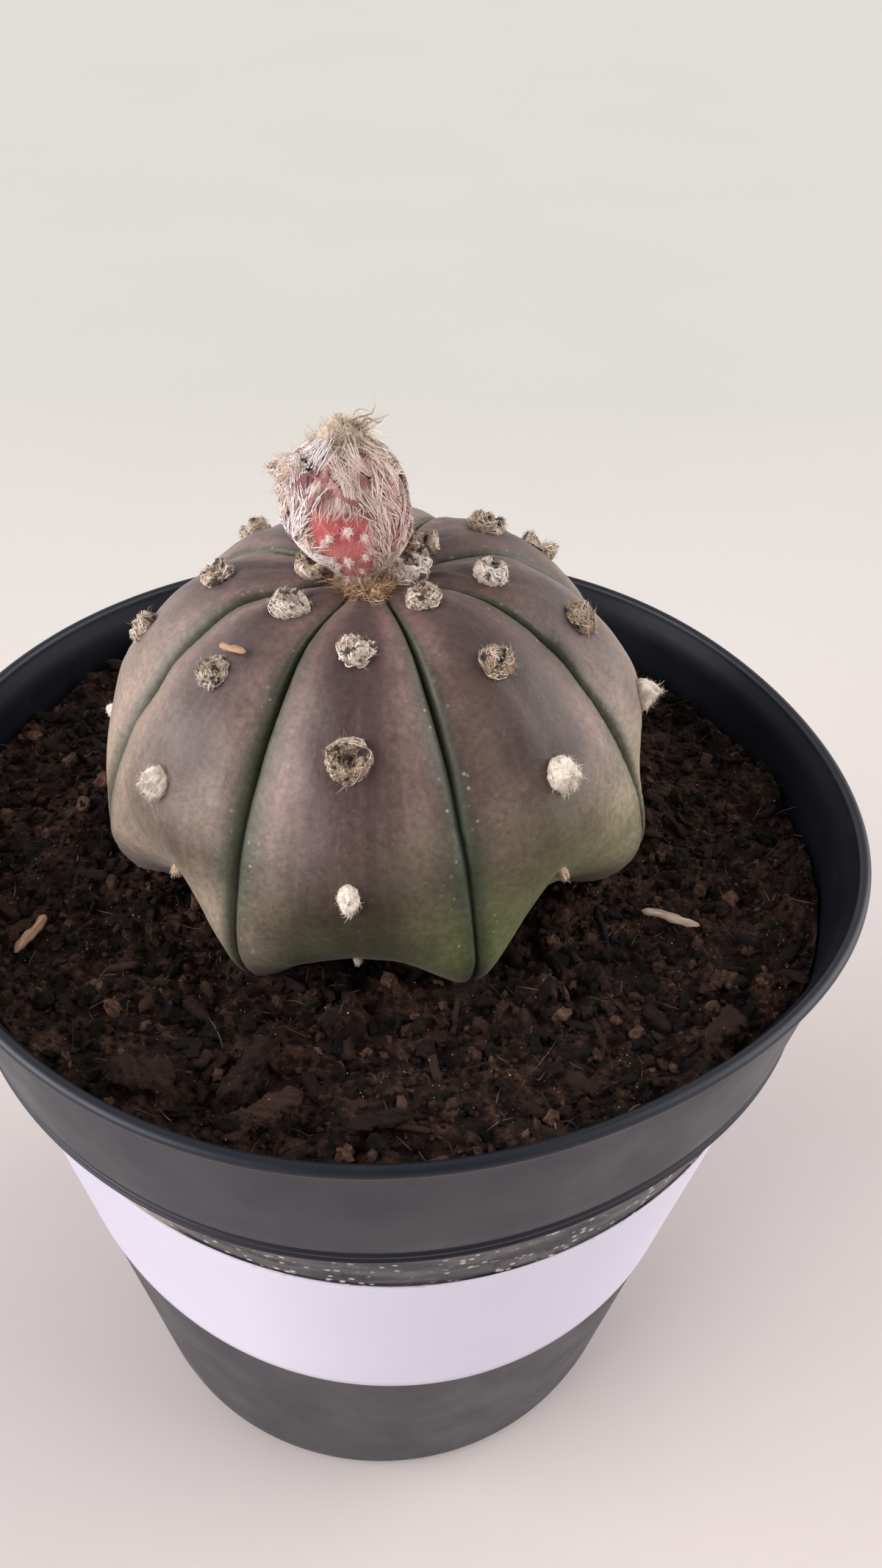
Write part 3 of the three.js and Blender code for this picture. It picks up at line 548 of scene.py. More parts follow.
def drain_cutter():
    cutter = bmesh.new()
    radius = DRAIN_RADIUS * MM
    for centre in directions((np.arange(DRAIN_HOLES) + 0.5) * 360 / DRAIN_HOLES) * DRAIN_RING:
        place = Matrix.Translation(Vector(centre + (0, 0, POT_FLOOR / 2)) * MM)
        shape = {"segments": 48, "radius1": radius, "radius2": radius, "depth": 3 * POT_FLOOR * MM}
        bmesh.ops.create_cone(cutter, cap_ends=True, matrix=place, **shape)
    mesh = bpy.data.meshes.new("drain_cutter")
    cutter.to_mesh(mesh)
    cutter.free()
    return linked("drain_cutter", mesh)


def cut_drains(pot):
    """Cuts the round drain holes through the floor of the pot."""
    tool = drain_cutter()
    cut = pot.modifiers.new("drains", "BOOLEAN")
    cut.operation = "DIFFERENCE"
    cut.solver = "EXACT"
    cut.object = tool
    bpy.context.view_layer.update()
    pierced = bpy.data.meshes.new_from_object(pot.evaluated_get(bpy.context.evaluated_depsgraph_get()))
    pot.modifiers.clear()
    pot.data = pierced
    bpy.data.objects.remove(tool)
    return pot


def pot_material():
    n = Material("pot_plastic")
    place = n.place()
    streaks = place.stretched(30, 30, 260).noise(1.0, 3.0)
    dust = place.noise(420, 6.0, 0.7).rise(0.62, 0.78)
    colour = n.mix(place.noise(22, 3.0), (19, 21, 29), (25, 27, 37))
    colour = n.mix(streaks * 0.35, colour, (17, 18, 23))
    colour = n.mix(dust * 0.2, colour, (112, 102, 94))
    rough = place.noise(90, 5.0).rise(0.3, 0.7, 0.34, 0.46)
    normal = n.bump(place.noise(1500, 2.0) * 0.3 + streaks, strength=0.1, distance=0.0002)
    return n.finish(colour, rough, normal, IOR=1.5, Specular_Tint=(0.8, 0.82, 0.95, 1))


# ---------------------------------------------------------------- label and tape


def folded_faces(rows, columns):
    """Quads of a strip whose rows run over its front and return over its back, closed all round."""
    first = np.arange(columns - 1)
    last = first + (rows - 1) * columns
    faces = [grid_faces(rows, columns, False), np.stack([last, first, first + 1, last + 1], -1)]
    step = np.arange(rows // 2 - 1)
    for column in (0, columns - 1):
        a = step * columns + column
        b = (rows - 1 - step) * columns + column
        caps = np.stack([a, a + columns, b - columns, b], -1)
        faces.append(caps if column else caps[:, ::-1])
    return np.concatenate(faces)


def strip_object(name, ends, low, width, stand_off, thickness, steps, ripple, marks=None):
    """A flat strip laid straight on the tapered wall. ripple lifts it, marks gives more values to keep."""
    taper = LOWER_SLOPE / math.hypot(1, LOWER_SLOPE)
    apex = (BASE_RADIUS + LOWER_SLOPE * LABEL_BOTTOM) / taper
    highest = (SHOULDER_RADIUS - LOWER_SLOPE * 0.5) / taper
    x0, x1 = (apex * math.tan(math.radians(end) * taper) for end in ends)
    x, y = np.meshgrid(np.linspace(x0, x1, steps[0]), low + np.linspace(0, width, steps[1]))
    distance = np.minimum(np.hypot(x, apex + y), highest)
    azimuth = LABEL_AXIS_AZIMUTH + np.degrees(np.arctan2(x, apex + y)) / taper
    height = (distance * taper - BASE_RADIUS) / LOWER_SLOPE
    radius = distance * taper + out_of_round(azimuth, height) + stand_off + ripple(x, y)
    outer, inner = (turned(azimuth, radius + out, height) for out in (thickness, 0))
    x, y = (np.concatenate([v, v[::-1]]) for v in (x, y))
    values = {"flat": np.stack([x, y, 0 * x], -1), **(marks(x, y) if marks else {})}
    return mesh_object(name, np.concatenate([outer, inner[::-1]]), folded_faces(*x.shape), values)


def label_ripple(x, y):
    return 0.10 + 0.05 * lattice_noise(x / 18, y / 11)


def tape_ripple(x, y):
    return 0.42 + 0.10 * lattice_noise(x / 7 + 3, y / 4)


def tape_marks(x, y):
    """How milky the tape is, most of all towards its ends, and where it lies clear of the paper."""
    milky = 0.12 + 0.88 * (smoothstep(x, 22, 34) + smoothstep(-x, 62, 76)).clip(0, 1)
    return {"milky": milky, "off_paper": smoothstep(y, LABEL_WIDTH, LABEL_WIDTH + 1)}


def paper_material():
    n = Material("paper")
    place = n.vector("flat")
    fibre = place.stretched(1.0, 2.2, 1.0).noise(2.6, 6.0, 0.7)
    cloud = place.noise(0.06, 3.0)
    colour = n.mix(fibre, (221, 217, 236), (231, 228, 243))
    colour = n.mix(cloud * 0.35, colour, (218, 211, 234))
    # Painted shade: the paper darkens towards its left end, which faces the left window.
    worn = (n.place().axis("X") * 6.0 + 0.5).fall(0.08, 0.38)
    colour = n.mix(worn, colour, (176, 172, 188))
    return n.finish(colour, cloud.rise(0.3, 0.7, 0.42, 0.6), n.bump(fibre, strength=0.15, distance=0.0001))


def tape_material():
    """Clear film: see-through, milky where air lies under it, with small bright bubbles in a row."""
    n = Material("clear_film")
    place = n.vector("flat")
    streak = place.stretched(0.05, 0.35, 1.0).noise(1.0, 4.0, 0.6)
    lines = place.stretched(0.6, 0.08, 1.0).noise(1.0, 5.0, 0.65)
    bubble = place.stretched(0.55, 0.9, 1.0).cells(1.0).fall(0.16, 0.3)
    spots = bubble * place.noise(0.16, 2.0).rise(0.42, 0.52)
    milk = streak.rise(0.42, 0.6) * lines.rise(0.3, 0.62, 0.35)
    ends = n.value("milky")
    cover = milk * (ends * 0.75) + spots * 0.8 + ends.rise(0.3, 1.0, 0.0, 0.45)
    cover = n.math("MULTIPLY", cover, n.value("off_paper"), clamp=True)
    colour = n.mix(spots, (204, 194, 184), (222, 218, 218))
    normal = n.bump(streak + spots, strength=0.4, distance=0.0003)
    return n.finish(colour, lines.rise(0.3, 0.7, 0.12, 0.3), normal, Alpha=cover, IOR=1.48)


# ---------------------------------------------------------------- cactus body


def rib_at(even):
    """The number of the rib whose middle is nearest."""
    return np.round(np.mod(even, 360) / RIB_PITCH).astype(int) % RIBS


def from_groove_at(even):
    """0 in a groove and 1 on a row of areoles, along the middle of a rib."""
    return 1 - np.abs(even - np.round(even / RIB_PITCH) * RIB_PITCH) / (RIB_PITCH / 2)


def twisted(even):
    """The real azimuth of an even one: the ribs and grooves stand a little out of step."""
    twist = np.ravel(np.column_stack([RIB_TWIST, GROOVE_TWIST]))
    place = np.mod(even, 360) / (RIB_PITCH / 2)
    k = np.floor(place).astype(int)
    return even + mix(twist[k % (2 * RIBS)], twist[(k + 1) % (2 * RIBS)], place - k)


def body_point(even, station, fine=False):
    """Points of the cactus's skin at even azimuths and stations down the meridian."""
    even, station = np.broadcast_arrays(np.asarray(even, float), np.asarray(station, float))
    from_groove = from_groove_at(even)
    swell, areole = catmull(SWELL_MERIDIAN, station), catmull(AREOLE_MERIDIAN, station)
    foot = smoothstep(station, 4.2, 6) * (1 - smoothstep(station, 8, 10))
    areole[..., 0] += FOOT_FULLNESS[rib_at(even)] * foot
    ridge, valley = np.sin(np.pi / 2 * from_groove), smoothstep(from_groove, -0.06, 1)
    shape = mix(ridge, valley, smoothstep(station, SHOULDER_STATION, SHOULDER_STATION + 2))
    point = mix(swell, areole, shape[..., None])
    size = np.maximum(np.linalg.norm(point, axis=-1), 1)
    depth = np.interp(station, np.arange(LAST_STATION + 1), GROOVE_DEPTHS)
    inward = depth * np.exp(-((from_groove / 0.09) ** 1.2))
    if fine:
        inward = 0.72 * depth * np.exp(-((from_groove / 0.036) ** 1.2))
        inward = inward + fine_relief(even, station, from_groove)
    point = point * (1 - inward / size)[..., None]
    x, y, z = np.moveaxis(turned(twisted(even), point[..., 0], point[..., 1]), -1, 0)
    lx, ly = BODY_LEAN
    return np.stack([x + lx * z, y + ly * z, z - lx * x - ly * y], -1) + BODY_CENTRE


def fine_relief(even, station, from_groove):
    """How far the living skin lies under the smooth form: a crease down each rib, soft dents, wrinkles."""
    shown = smoothstep(station, 0.4, 1.2) * (1 - smoothstep(station, 7.5, 8.5))
    crease = 0.2 * np.exp(-(((1 - from_groove) / 0.08) ** 1.5)) * smoothstep(station, 1.5, 3.2)
    dents = 0.34 * lattice_noise(even / 9.0, station * 1.9)
    dents = dents + 0.05 * lattice_noise(even / 3.6 + 7, station * 4.2)
    close = np.exp(-((from_groove / 0.3) ** 2))
    wrinkles = 0.05 * close * lattice_noise(even / 5, station * 26)
    return shown * (crease + dents + wrinkles + 0.07 * near_areoles(even, station, from_groove, 2.2))


def near_areoles(even, station, from_groove, fall):
    """Each areole's size where it stands, falling off with the square of the distance in sizes."""
    around = rib_at(even)
    total = np.zeros_like(station)
    for rib, stations in enumerate(AREOLE_STATIONS):
        for s in stations:
            size = table(AREOLE_SIZES, s)
            away = ((1 - from_groove) * 17 / size) ** 2 + ((station - s) * 10.5 / size) ** 2
            total += np.where(around == rib, size * np.exp(-away * fall), 0)
    return total


def make_body():
    offsets = RIB_PITCH / 2 * np.linspace(0, 1, 20) ** 1.55  # closer together beside the groove
    one = np.concatenate([offsets[:-1], RIB_PITCH - offsets[:0:-1]])
    even = np.concatenate([(k - 0.5) * RIB_PITCH + one for k in range(RIBS)])
    station = np.concatenate([np.linspace(0.02, 8.2, 204), np.linspace(8.4, LAST_STATION - 0.02, 12)])
    e, s = np.meshgrid(even, station)
    from_groove = from_groove_at(e)
    near_areole_dark = np.clip(near_areoles(e, s, from_groove, 0.5) / 6, 0, 1)
    values = {"groove": from_groove, "station": s, "turn": twisted(e) / 360, "near_areole_dark": near_areole_dark}
    rings = body_point(e, s, fine=True)
    return mesh_object("cactus_skin", rings, ring_faces(rings), values)


def make_root():
    """The neck that goes down into the soil."""
    under = BODY_CENTRE[2] + SWELL_MERIDIAN[-1][1]
    profile = np.array([(0.5, -26), (5.4, -25.6), (6, -25), (9.2, -14), (12, -4), (12, 4)]) + (0, under)
    r, z = catmull(profile, np.linspace(0, len(profile) - 1, 22)).T[..., None]
    azimuth = np.arange(48) * 7.5
    rings = turned(azimuth, r * (1 + 0.05 * lattice_noise(azimuth / 30, z / 4)), z)
    rings[..., :2] += BODY_CENTRE[:2]
    return mesh_object("root_neck", rings, ring_faces(rings, flipped=True))


class SkinMaterial(Material):
    """The cactus's skin, laid on in layers of colour from what its mesh keeps at each point."""

    def __init__(self):
        super().__init__("cactus_skin")
        self.spot = self.place()
        self.groove, station = self.value("groove"), self.value("station")
        self.down = station / 8.0
        self.across = self.spot.axis("X") * 10.0 + 0.5
        self.cloud = self.spot.noise(48, 4.0, 0.5)
        self.patch = self.spot.noise(130, 5.0, 0.6)
        self.fine = self.spot.noise(1100, 4.0, 0.6)
        run = self.put("ShaderNodeCombineXYZ", 0, {"X": self.value("turn") * 150.0, "Y": station * 0.8})
        self.streak = run.noise(1.0, 4.0, 0.5, 0.4)
        self.colour = self.cloud.ramp((0.3, (93, 66, 64)), (0.5, (109, 82, 77)), (0.7, (128, 102, 91)))

    def layer(self, factor, tone):
        self.colour = self.mix(factor, self.colour, tone)

    def browns(self):
        """Plum brown down each rib, strongest over the shoulder, and pale tan on the swellings beside it."""
        groove, down, patch, streak = self.groove, self.down, self.patch, self.streak
        middle = groove.rise(0.3, 0.85) * down.ramp((0.1, 1.0), (0.5, 0.7), (0.75, 0.2))
        self.layer(middle * 0.72, (60, 39, 43))
        # Pink on the upper flanks beside the grooves: partly the skin's own pink, partly a painted sheen.
        pink_and_painted_sheen = groove.ramp((0.1, 0.0), (0.32, 1.0), (0.7, 0.0))
        pink_and_painted_sheen = pink_and_painted_sheen * down.ramp((0.08, 0.0), (0.2, 1.0), (0.4, 1.0), (0.6, 0.0))
        self.layer(pink_and_painted_sheen * patch.rise(0.35, 0.65, 0.15, 0.55), (150, 116, 118))
        swelling = groove.ramp((0.14, 0.0), (0.34, 1.0), (0.66, 0.0))
        swelling = swelling * down.ramp((0.2, 0.0), (0.45, 0.6), (0.7, 1.0))
        self.layer(swelling * patch.rise(0.3, 0.7, 0.35, 0.75), (168, 142, 122))
        self.layer(streak.rise(0.45, 0.7) * down.rise(0.3, 0.55, 0.05, 0.2), (174, 156, 152))
        self.layer(streak.fall(0.25, 0.5) * 0.06, (70, 54, 50))
        # Darker plum round each areole, more round the bigger ones.
        self.layer(self.value("near_areole_dark") * 0.38, (62, 37, 40))

    def greens(self):
        """Green beside the grooves and towards the soil, painted highlights on the flanks that face the
        windows, painted shade just right of the front, and a dark green slit in each groove that is partly
        painted shade in the crease.
        """
        groove, down, across = self.groove, self.down, self.across
        halo = groove.ramp((0.0, 1.0), (0.12, 0.75), (0.34, 0.0)) * self.patch.rise(0.2, 0.8, 0.8)
        self.layer(halo * 0.6, (78, 84, 66))
        ragged = down + (self.cloud - 0.5) * 0.2
        foot = ragged.ramp((0.52, 0.0), (0.67, 0.65), (0.8, 1.0)) * across.rise(0.05, 0.3, 0.5)
        self.layer(foot, self.mix(across.rise(0.5, 0.68), (54, 65, 22), (130, 138, 84)))
        # Painted light: the skin is paler on the flanks towards the left and right windows, and low on the
        # left.
        painted_light_flanks = across.ramp((0.05, 1.0), (0.18, 0.4), (0.26, 0.0), (0.74, 0.0), (0.84, 0.6), (0.92, 1.0))
        painted_light_flanks = painted_light_flanks * down.rise(0.25, 0.45, 0.2)
        painted_light_low_left = across.ramp((0.1, 1.0), (0.3, 0.8), (0.37, 0.0))
        painted_light_low_left = painted_light_low_left * down.ramp((0.6, 0.0), (0.7, 1.0), (0.79, 1.0), (0.85, 0.1))
        self.layer(painted_light_flanks.most(painted_light_low_left) * 0.55, (200, 176, 158))
        # Painted shade on the skin just right of the middle, above the foot.
        shady = across.ramp((0.52, 0.0), (0.6, 1.0), (0.72, 1.0), (0.8, 0.0)) * down.fall(0.6, 0.75, 0.55)
        self.layer(shady, (64, 45, 37))
        self.layer(groove.ramp((0.0, 1.0), (0.06, 0.85), (0.17, 0.0)) * 0.7, (50, 66, 46))
        # The dark green slit in each groove: partly the skin's own colour, partly painted shade in the
        # crease.
        self.layer(groove.ramp((0.0, 1.0), (0.006, 0.85), (0.018, 0.0)), (30, 42, 28))

    def flecks(self):
        """Pale flecks in rows beside the grooves, a few dark specks and bruises, and a mottle over all."""
        spot = self.spot
        dots = spot.cells(620).fall(0.1, 0.2)
        rows = self.groove.ramp((0.06, 0.0), (0.1, 1.0), (0.2, 0.45), (0.45, 0.12), (0.7, 0.1))
        self.layer(dots * rows * spot.noise(260, 2.0).rise(0.44, 0.54) * 0.65, (192, 184, 166))
        self.layer(spot.cells(210).fall(0.05, 0.09) * self.patch.rise(0.55, 0.62) * 0.8, (34, 26, 22))
        self.layer(spot.noise(300, 3.0, 0.6).rise(0.62, 0.72) * 0.3, (58, 44, 42))
        blotch = spot.noise(75, 6.0, 0.68)
        self.colour = self.mix(0.4, self.colour, self.fine.rise(0.35, 0.65, 0.14, 0.64), "OVERLAY")
        self.colour = self.mix(0.5, self.colour, blotch.rise(0.36, 0.64, 0.22, 0.72), "OVERLAY")


def skin_material():
    n = SkinMaterial()
    n.browns()
    n.greens()
    n.flecks()
    height = n.fine * 0.6 + (n.patch * 0.5 + n.streak * 0.25)
    rough = n.patch.rise(0.3, 0.7, 0.42, 0.56)
    normal = n.bump(height, strength=0.35, distance=0.0004)
    return n.finish(
        n.colour, rough, normal, Sheen_Weight=0.15,
        Sheen_Roughness=0.5, Sheen_Tint=(1.0, 0.86, 0.82, 1), Subsurface_Weight=0.05, Subsurface_Scale=0.002,
    )


# ---------------------------------------------------------------- wool


RING_SECTION = np.array([
    (0.005, 0.10), (0.08, 0.09), (0.14, 0.12), (0.20, 0.25), (0.27, 0.36), (0.35, 0.40), (0.43, 0.34),
    (0.485, 0.22), (0.50, 0.10), (0.46, -0.02), (0.42, -0.12),
])
CONE_SECTION = np.array([
    (0.005, 0.60), (0.08, 0.58), (0.18, 0.46), (0.29, 0.30), (0.39, 0.15), (0.46, 0.04), (0.47, -0.02),
    (0.40, -0.10),
])
PLUG_SECTION = np.array([
    (0.005, 0.62), (0.10, 0.61), (0.22, 0.57), (0.33, 0.47), (0.42, 0.32), (0.475, 0.16), (0.47, 0.02),
    (0.40, -0.10),
])


def standing(point, z, y):
    """A place and its three axes: z as given, x square to z and y, and y turned square to both."""
    x = unit(np.cross(y, z))
    return point, x, np.cross(z, x), z


def rib_frame(rib, station):
    azimuth = rib * RIB_PITCH
    down = unit(body_point(azimuth, station + 0.2) - body_point(azimuth, station - 0.2))
    across = unit(body_point(azimuth + 4, station) - body_point(azimuth - 4, station))
    return standing(body_point(azimuth, station, fine=True), unit(np.cross(down, across)), down)


class Pad:
    """A tuft of wool: a section turned round the z axis of its own place."""

    def __init__(self, random, section, frame_at, size, rise, stretch=1.0):
        self.section, self.size, self.rise, self.stretch = section, size, rise, stretch
        self.point, *axes = frame_at
        self.basis = np.stack(axes)
        self.seed = random.uniform(0, 90)

    def surface(self, a, t):
        """Local points at angle a and share t along the section, and how far each stands out of the pits."""
        size, seed, top = self.size, self.seed, self.section[:, 1].max()
        reach, level = np.moveaxis(catmull(self.section, t * (len(self.section) - 1)), -1, 0)
        share = np.clip(level / top, 0, 1)
        ragged = lattice_noise(2.1 * np.cos(a) + seed + 3 * t, 2.1 * np.sin(a) - seed)
        sunk = lattice_noise(1.0 * np.cos(a) + 3 * seed, 1.0 * np.sin(a) + 2 * seed)
        radius = size * reach * (1 + 0.14 * ragged)
        height = self.rise * level / top * (1 + (0.25 * ragged + 0.35 * sunk) * (level > 0))
        x, y = radius * np.cos(a), radius * np.sin(a) * self.stretch
        tuft, _ = clumps(x + 0.5 * height, y - 0.6 * height, 0.09 * size + 0.1, seed)
        swell = 0.09 * size * (tuft - 0.45)
        out = np.clip(reach * 2.2 - 0.2, 0, 1) * swell
        local = np.stack([x + out * np.cos(a), y + out * np.sin(a), height + (0.4 + 0.4 * share) * swell], -1)
        # The second number is how far the place stands out of the pits; the wool's material paints shade
        # where it is low.
        return local, np.clip(0.45 * share + 0.6 * tuft, 0, 1)

    def add_felt(self, heap, random, pale):
        """The felted body of the tuft: an open ring when old, a plug when young."""
        rows = int(np.clip(5 + 3.2 * self.size, 9, 25))
        columns = int(1.8 * rows)
        angles = np.linspace(0, 2 * np.pi, columns, endpoint=False)
        t, a = np.meshgrid(np.linspace(0, 1, rows), angles, indexing="ij")
        local, share = self.surface(a, t)
        local = local.reshape(-1, 3) + random.normal(0, 0.012 * self.size, (rows * columns, 3))
        tone = 0.2 + pale + 0.4 * random.uniform(0, 1, len(local))
        points = self.point + local @ self.basis
        heap.add(points, grid_faces(rows, columns, True), tone=tone, tip=share.ravel())

    def add_strands(self, heap, random, count, length, width, pale):
        """Thick curled strands that run round the tuft, one over the other."""
        s = np.linspace(0, 1, 8)[None, :]
        start, share = random.uniform(0, 2 * np.pi, (count, 1)), random.uniform(0.15, 0.95, (count, 1))
        swing = random.choice([-1, 1], (count, 1)) * random.uniform(0.4, 1.2, (count, 1))
        swing = swing * length / (0.3 + 0.7 * share)
        a = start + swing * s + 0.25 * np.sin(2 * np.pi * s * random.uniform(0.4, 1, (count, 1)) + start)
        drift = random.normal(0, 0.22, (count, 1)) * (s - 0.5)
        path, _ = self.surface(a, np.clip(share + drift + 0.06 * np.sin(7 * s + 5 * start), 0.05, 0.97))
        normal = unit(path * (1.2, 1.2, 0) / self.size + 0.5 * UP)
        bow = 0.07 * self.size * random.uniform(0.2, 1, (count, 1)) * np.sin(np.pi * (0.1 + 0.8 * s))
        path = path + normal * (0.05 + bow)[..., None]
        side = unit(np.cross(np.gradient(path, axis=1), normal))
        half = side * (width * random.uniform(0.5, 1.4, (count, 1, 1)) / 2)
        half = half * (1 - 0.7 * np.abs(2 * s[..., None] - 1) ** 3)
        tone = 0.25 + pale + 0.65 * random.uniform(0, 1, count)
        path = self.point + path @ self.basis
        # The ends, tucked into the felt, get painted shade.
        add_strips(heap, path, half @ self.basis, tone, 0.35 + 0.65 * np.sin(np.pi * s[0]))

    def add_curls(self, heap, random, count, curl, length, width):
        """Short fine hairs all over the tuft. curl is how far they bow, length is a share of its size."""
        a, t = random.uniform(0, 2 * np.pi, count), random.uniform(0.12, 0.93, count)
        root, share = self.surface(a, t)
        ahead = unit(self.surface(a, np.minimum(t + 0.02, 1))[0] - root)
        aside = unit(self.surface(a + 0.05, t)[0] - root)
        outward = unit(np.cross(ahead, aside))
        spread = (root[:, :2] * outward[:, :2]).sum(1, keepdims=True)
        outward = outward * np.sign(outward[:, 2:] + 0.3 * spread + 1e-6)
        lie = aside * random.choice([-1, 1], (count, 1)) * random.uniform(0.2, 1, (count, 1))
        lie = lie + ahead * random.normal(0, 0.6, (count, 1))
        lie = lie + np.array([0, 1.0, 0]) * (1 - curl) * random.uniform(0.2, 1.1, (count, 1))
        along = lie + outward * random.uniform(0.05, 0.2 + 0.6 * curl, (count, 1))
        bend = (-outward * random.uniform(0.1, 0.6, (count, 1)) + random.normal(0, 0.5, (count, 3))) * curl
        reach = self.size * length * random.uniform(0.5, 1.2, count)
        width = random.uniform(0.6, 1.3, count) * width
        roots = self.point + root @ self.basis
        along, bend = along @ self.basis, bend @ self.basis
        # lift sets the painted shade along each hair: darker near the felt.
        ribbons(heap, roots, along, reach, width, bend, random, steps=3, lift=0.1 + 0.9 * share)


def add_tuft(heap, random, pad, curls, strands=None, pale=0.0):
    """One whole tuft of wool: the pad's felt, its strands, and its curls."""
    pad.add_felt(heap, random, pale)
    if strands:
        pad.add_strands(heap, random, **strands)
    pad.add_curls(heap, random, **curls)


def make_areoles():
    old, white = Heap(), Heap()
    random = np.random.default_rng(23)
    places = [(rib, k, s) for rib, stations in enumerate(AREOLE_STATIONS) for k, s in enumerate(stations)]
    for rib, k, station in places:
        frame_at = rib_frame(rib, station)
        size = table(AREOLE_SIZES, station) * random.uniform(0.9, 1.06) * AREOLE_GROWTH.get((rib, k), 1)
        if station < YOUNG_STATION:
            pale = AREOLE_TONES.get((rib, k), random.uniform(-0.32, 0.0))
            section = PLUG_SECTION if (rib, k) in DOMED_AREOLES else RING_SECTION
            pad = Pad(random, section, frame_at, size=size * 0.8, rise=0.28 * size + 0.3)
            strands = {"count": int(9 * size), "length": 0.7, "width": 0.15, "pale": pale}
            curls = {"count": int(75 * size), "curl": 1.3, "length": 0.13, "width": 0.06}
            add_tuft(old, random, pad, curls, strands, pale)
        else:
            pad = Pad(random, PLUG_SECTION, frame_at, size=size * 0.74, rise=0.42 * size + 0.4, stretch=1.28)
            curls = {"count": int(110 * size), "curl": 0.35, "length": 0.28, "width": 0.06}
            add_tuft(white, random, pad, curls, pale=-0.4 if size < 2.8 else 0.1)
    return old.made("areole_wool_old"), white.made("areole_wool_white")


def wool_material(name, stops, foot_shade, roughness=0.9, pit_shade=None):
    """Wool and dry fibres: each strand's own tone from stops, painted shade towards the foot of each fibre
    and low in the felt, and painted dark pits in the hollows.
    """
    n = Material(name)
    place = n.place()
    mottle = place.noise(700, 4.0, 0.6)
    tip = n.value("tip")
    colour = (n.value("tone") * 0.7 + mottle * 0.3).ramp(*stops)
    # Painted shade: darker towards the foot of each fibre and low in the felt.
    colour = n.mix(tip.fall(0.1, 0.6) * 0.85, colour, foot_shade)
    if pit_shade:
        # Painted shade: near-black pits from noise and from the lowest places in the felt.
        holes = place.noise(1250, 3.0, 0.6).rise(0.58, 0.66, 0.0, 0.8)
        holes = holes.most(place.noise(720, 2.0, 0.5).rise(0.56, 0.62, 0.0, 0.9))
        colour = n.mix(holes.most(tip.fall(0.1, 0.26, 0.95)), colour, pit_shade)
    rough = mottle.rise(0.3, 0.7, roughness - 0.08, min(roughness + 0.06, 1))
    normal = n.bump(place.noise(2600, 3.0), strength=0.4, distance=0.0002)
    return n.finish(colour, rough, normal, Sheen_Weight=0.2, Sheen_Roughness=0.5)


CROWN_FRONT = -88
CROWN_TUFTS = 24
CROWN_FRONT_TUFTS = 18
CROWN_HAIRS = 1700


def crown_reach(a):
    """How far the crown's wool spreads from the fruit's foot at azimuth a: furthest straight in front."""
    return 4.4 + 4.0 * np.exp(-(((a - CROWN_FRONT) / 17) ** 2))


def make_crown(ground):
    """Tan wool around the foot of the fruit, heaped up in front. ground gives the skin's height at x, y."""
    heap = Heap()
    random = np.random.default_rng(29)
    foot = FRUIT_FOOT[:2] + (0.9, 0.0)
    for i in range(CROWN_TUFTS):
        front = i < CROWN_FRONT_TUFTS
        behind = 30 + (i - CROWN_FRONT_TUFTS) * 24
        a = CROWN_FRONT + (i - 8.5) * 8 + random.uniform(-4, 4) if front else behind
        out = directions(a)
        x, y = foot + out[:2] * random.uniform(2.4, crown_reach(a) if front else 3.6)
        z = unit(out * 0.6 + random.normal(0, 0.25, 3) + UP)
        size = random.uniform(2.0, 3.4)
        frame_at = standing(np.array([x, y, ground(x, y) - 0.2]), z, out)
        pad = Pad(random, PLUG_SECTION, frame_at, size=size, rise=random.uniform(1.2, 2.2))
        add_tuft(heap, random, pad, {"count": 150, "curl": 1.0, "length": 0.5, "width": 0.12})
    count = CROWN_HAIRS
    in_front = random.uniform(0, 1, count) < 0.75
    a = np.where(in_front, random.normal(CROWN_FRONT, 30, count), random.uniform(0, 360, count))
    ring = 2.0 + (crown_reach(a) - 2.0) * random.uniform(0, 1, count)
    out = directions(a)
    root = out * ring[:, None] + (*foot, 0)
    root[:, 2] = [ground(x, y) + random.uniform(-0.2, 2.4 - 0.25 * r) for (x, y), r in zip(root[:, :2], ring)]
    along = out * random.normal(0.5, 0.7, (count, 1)) + 0.3 * UP + random.normal(0, 0.6, (count, 3))
    bend = random.normal(0, 0.7, (count, 3)) - 0.4 * UP + out * 0.15
    length, width = random.uniform(0.8, 2.6, count), random.uniform(0.06, 0.2, count)
    ribbons(heap, root, along, length, width, bend, random)
    return heap.made("crown_wool")


# ---------------------------------------------------------------- fruit


def fruit_axis(t):
    t = np.asarray(t, float)
    return FRUIT_FOOT + np.stack([FRUIT_BEND * smoothstep(t, 0, 0.7), 0.4 * t, FRUIT_HEIGHT * t], -1)


def fruit_radius(t):
    fine = catmull(FRUIT_PROFILE, np.linspace(0, len(FRUIT_PROFILE) - 1, 120))
    return np.interp(t, fine[:, 0], fine[:, 1])


def fruit_point(azimuth, t, lift=0.0):
    azimuth, t = np.broadcast_arrays(np.asarray(azimuth, float), np.asarray(t, float))
    return fruit_axis(t) + directions(azimuth) * (fruit_radius(t) + lift)[..., None]


def bare_amount(azimuth, t):
    """1 in the middle of the bare red patch, 0 outside it."""
    centre, half, low, high = BARE_PATCH
    turn = np.abs(np.mod(azimuth - centre + 180, 360) - 180)
    side = 1 - smoothstep(turn, 0.62 * half, 1.05 * half)
    return side * smoothstep(t, low - 0.05, low + 0.06) * (1 - smoothstep(t, high - 0.1, high + 0.05))


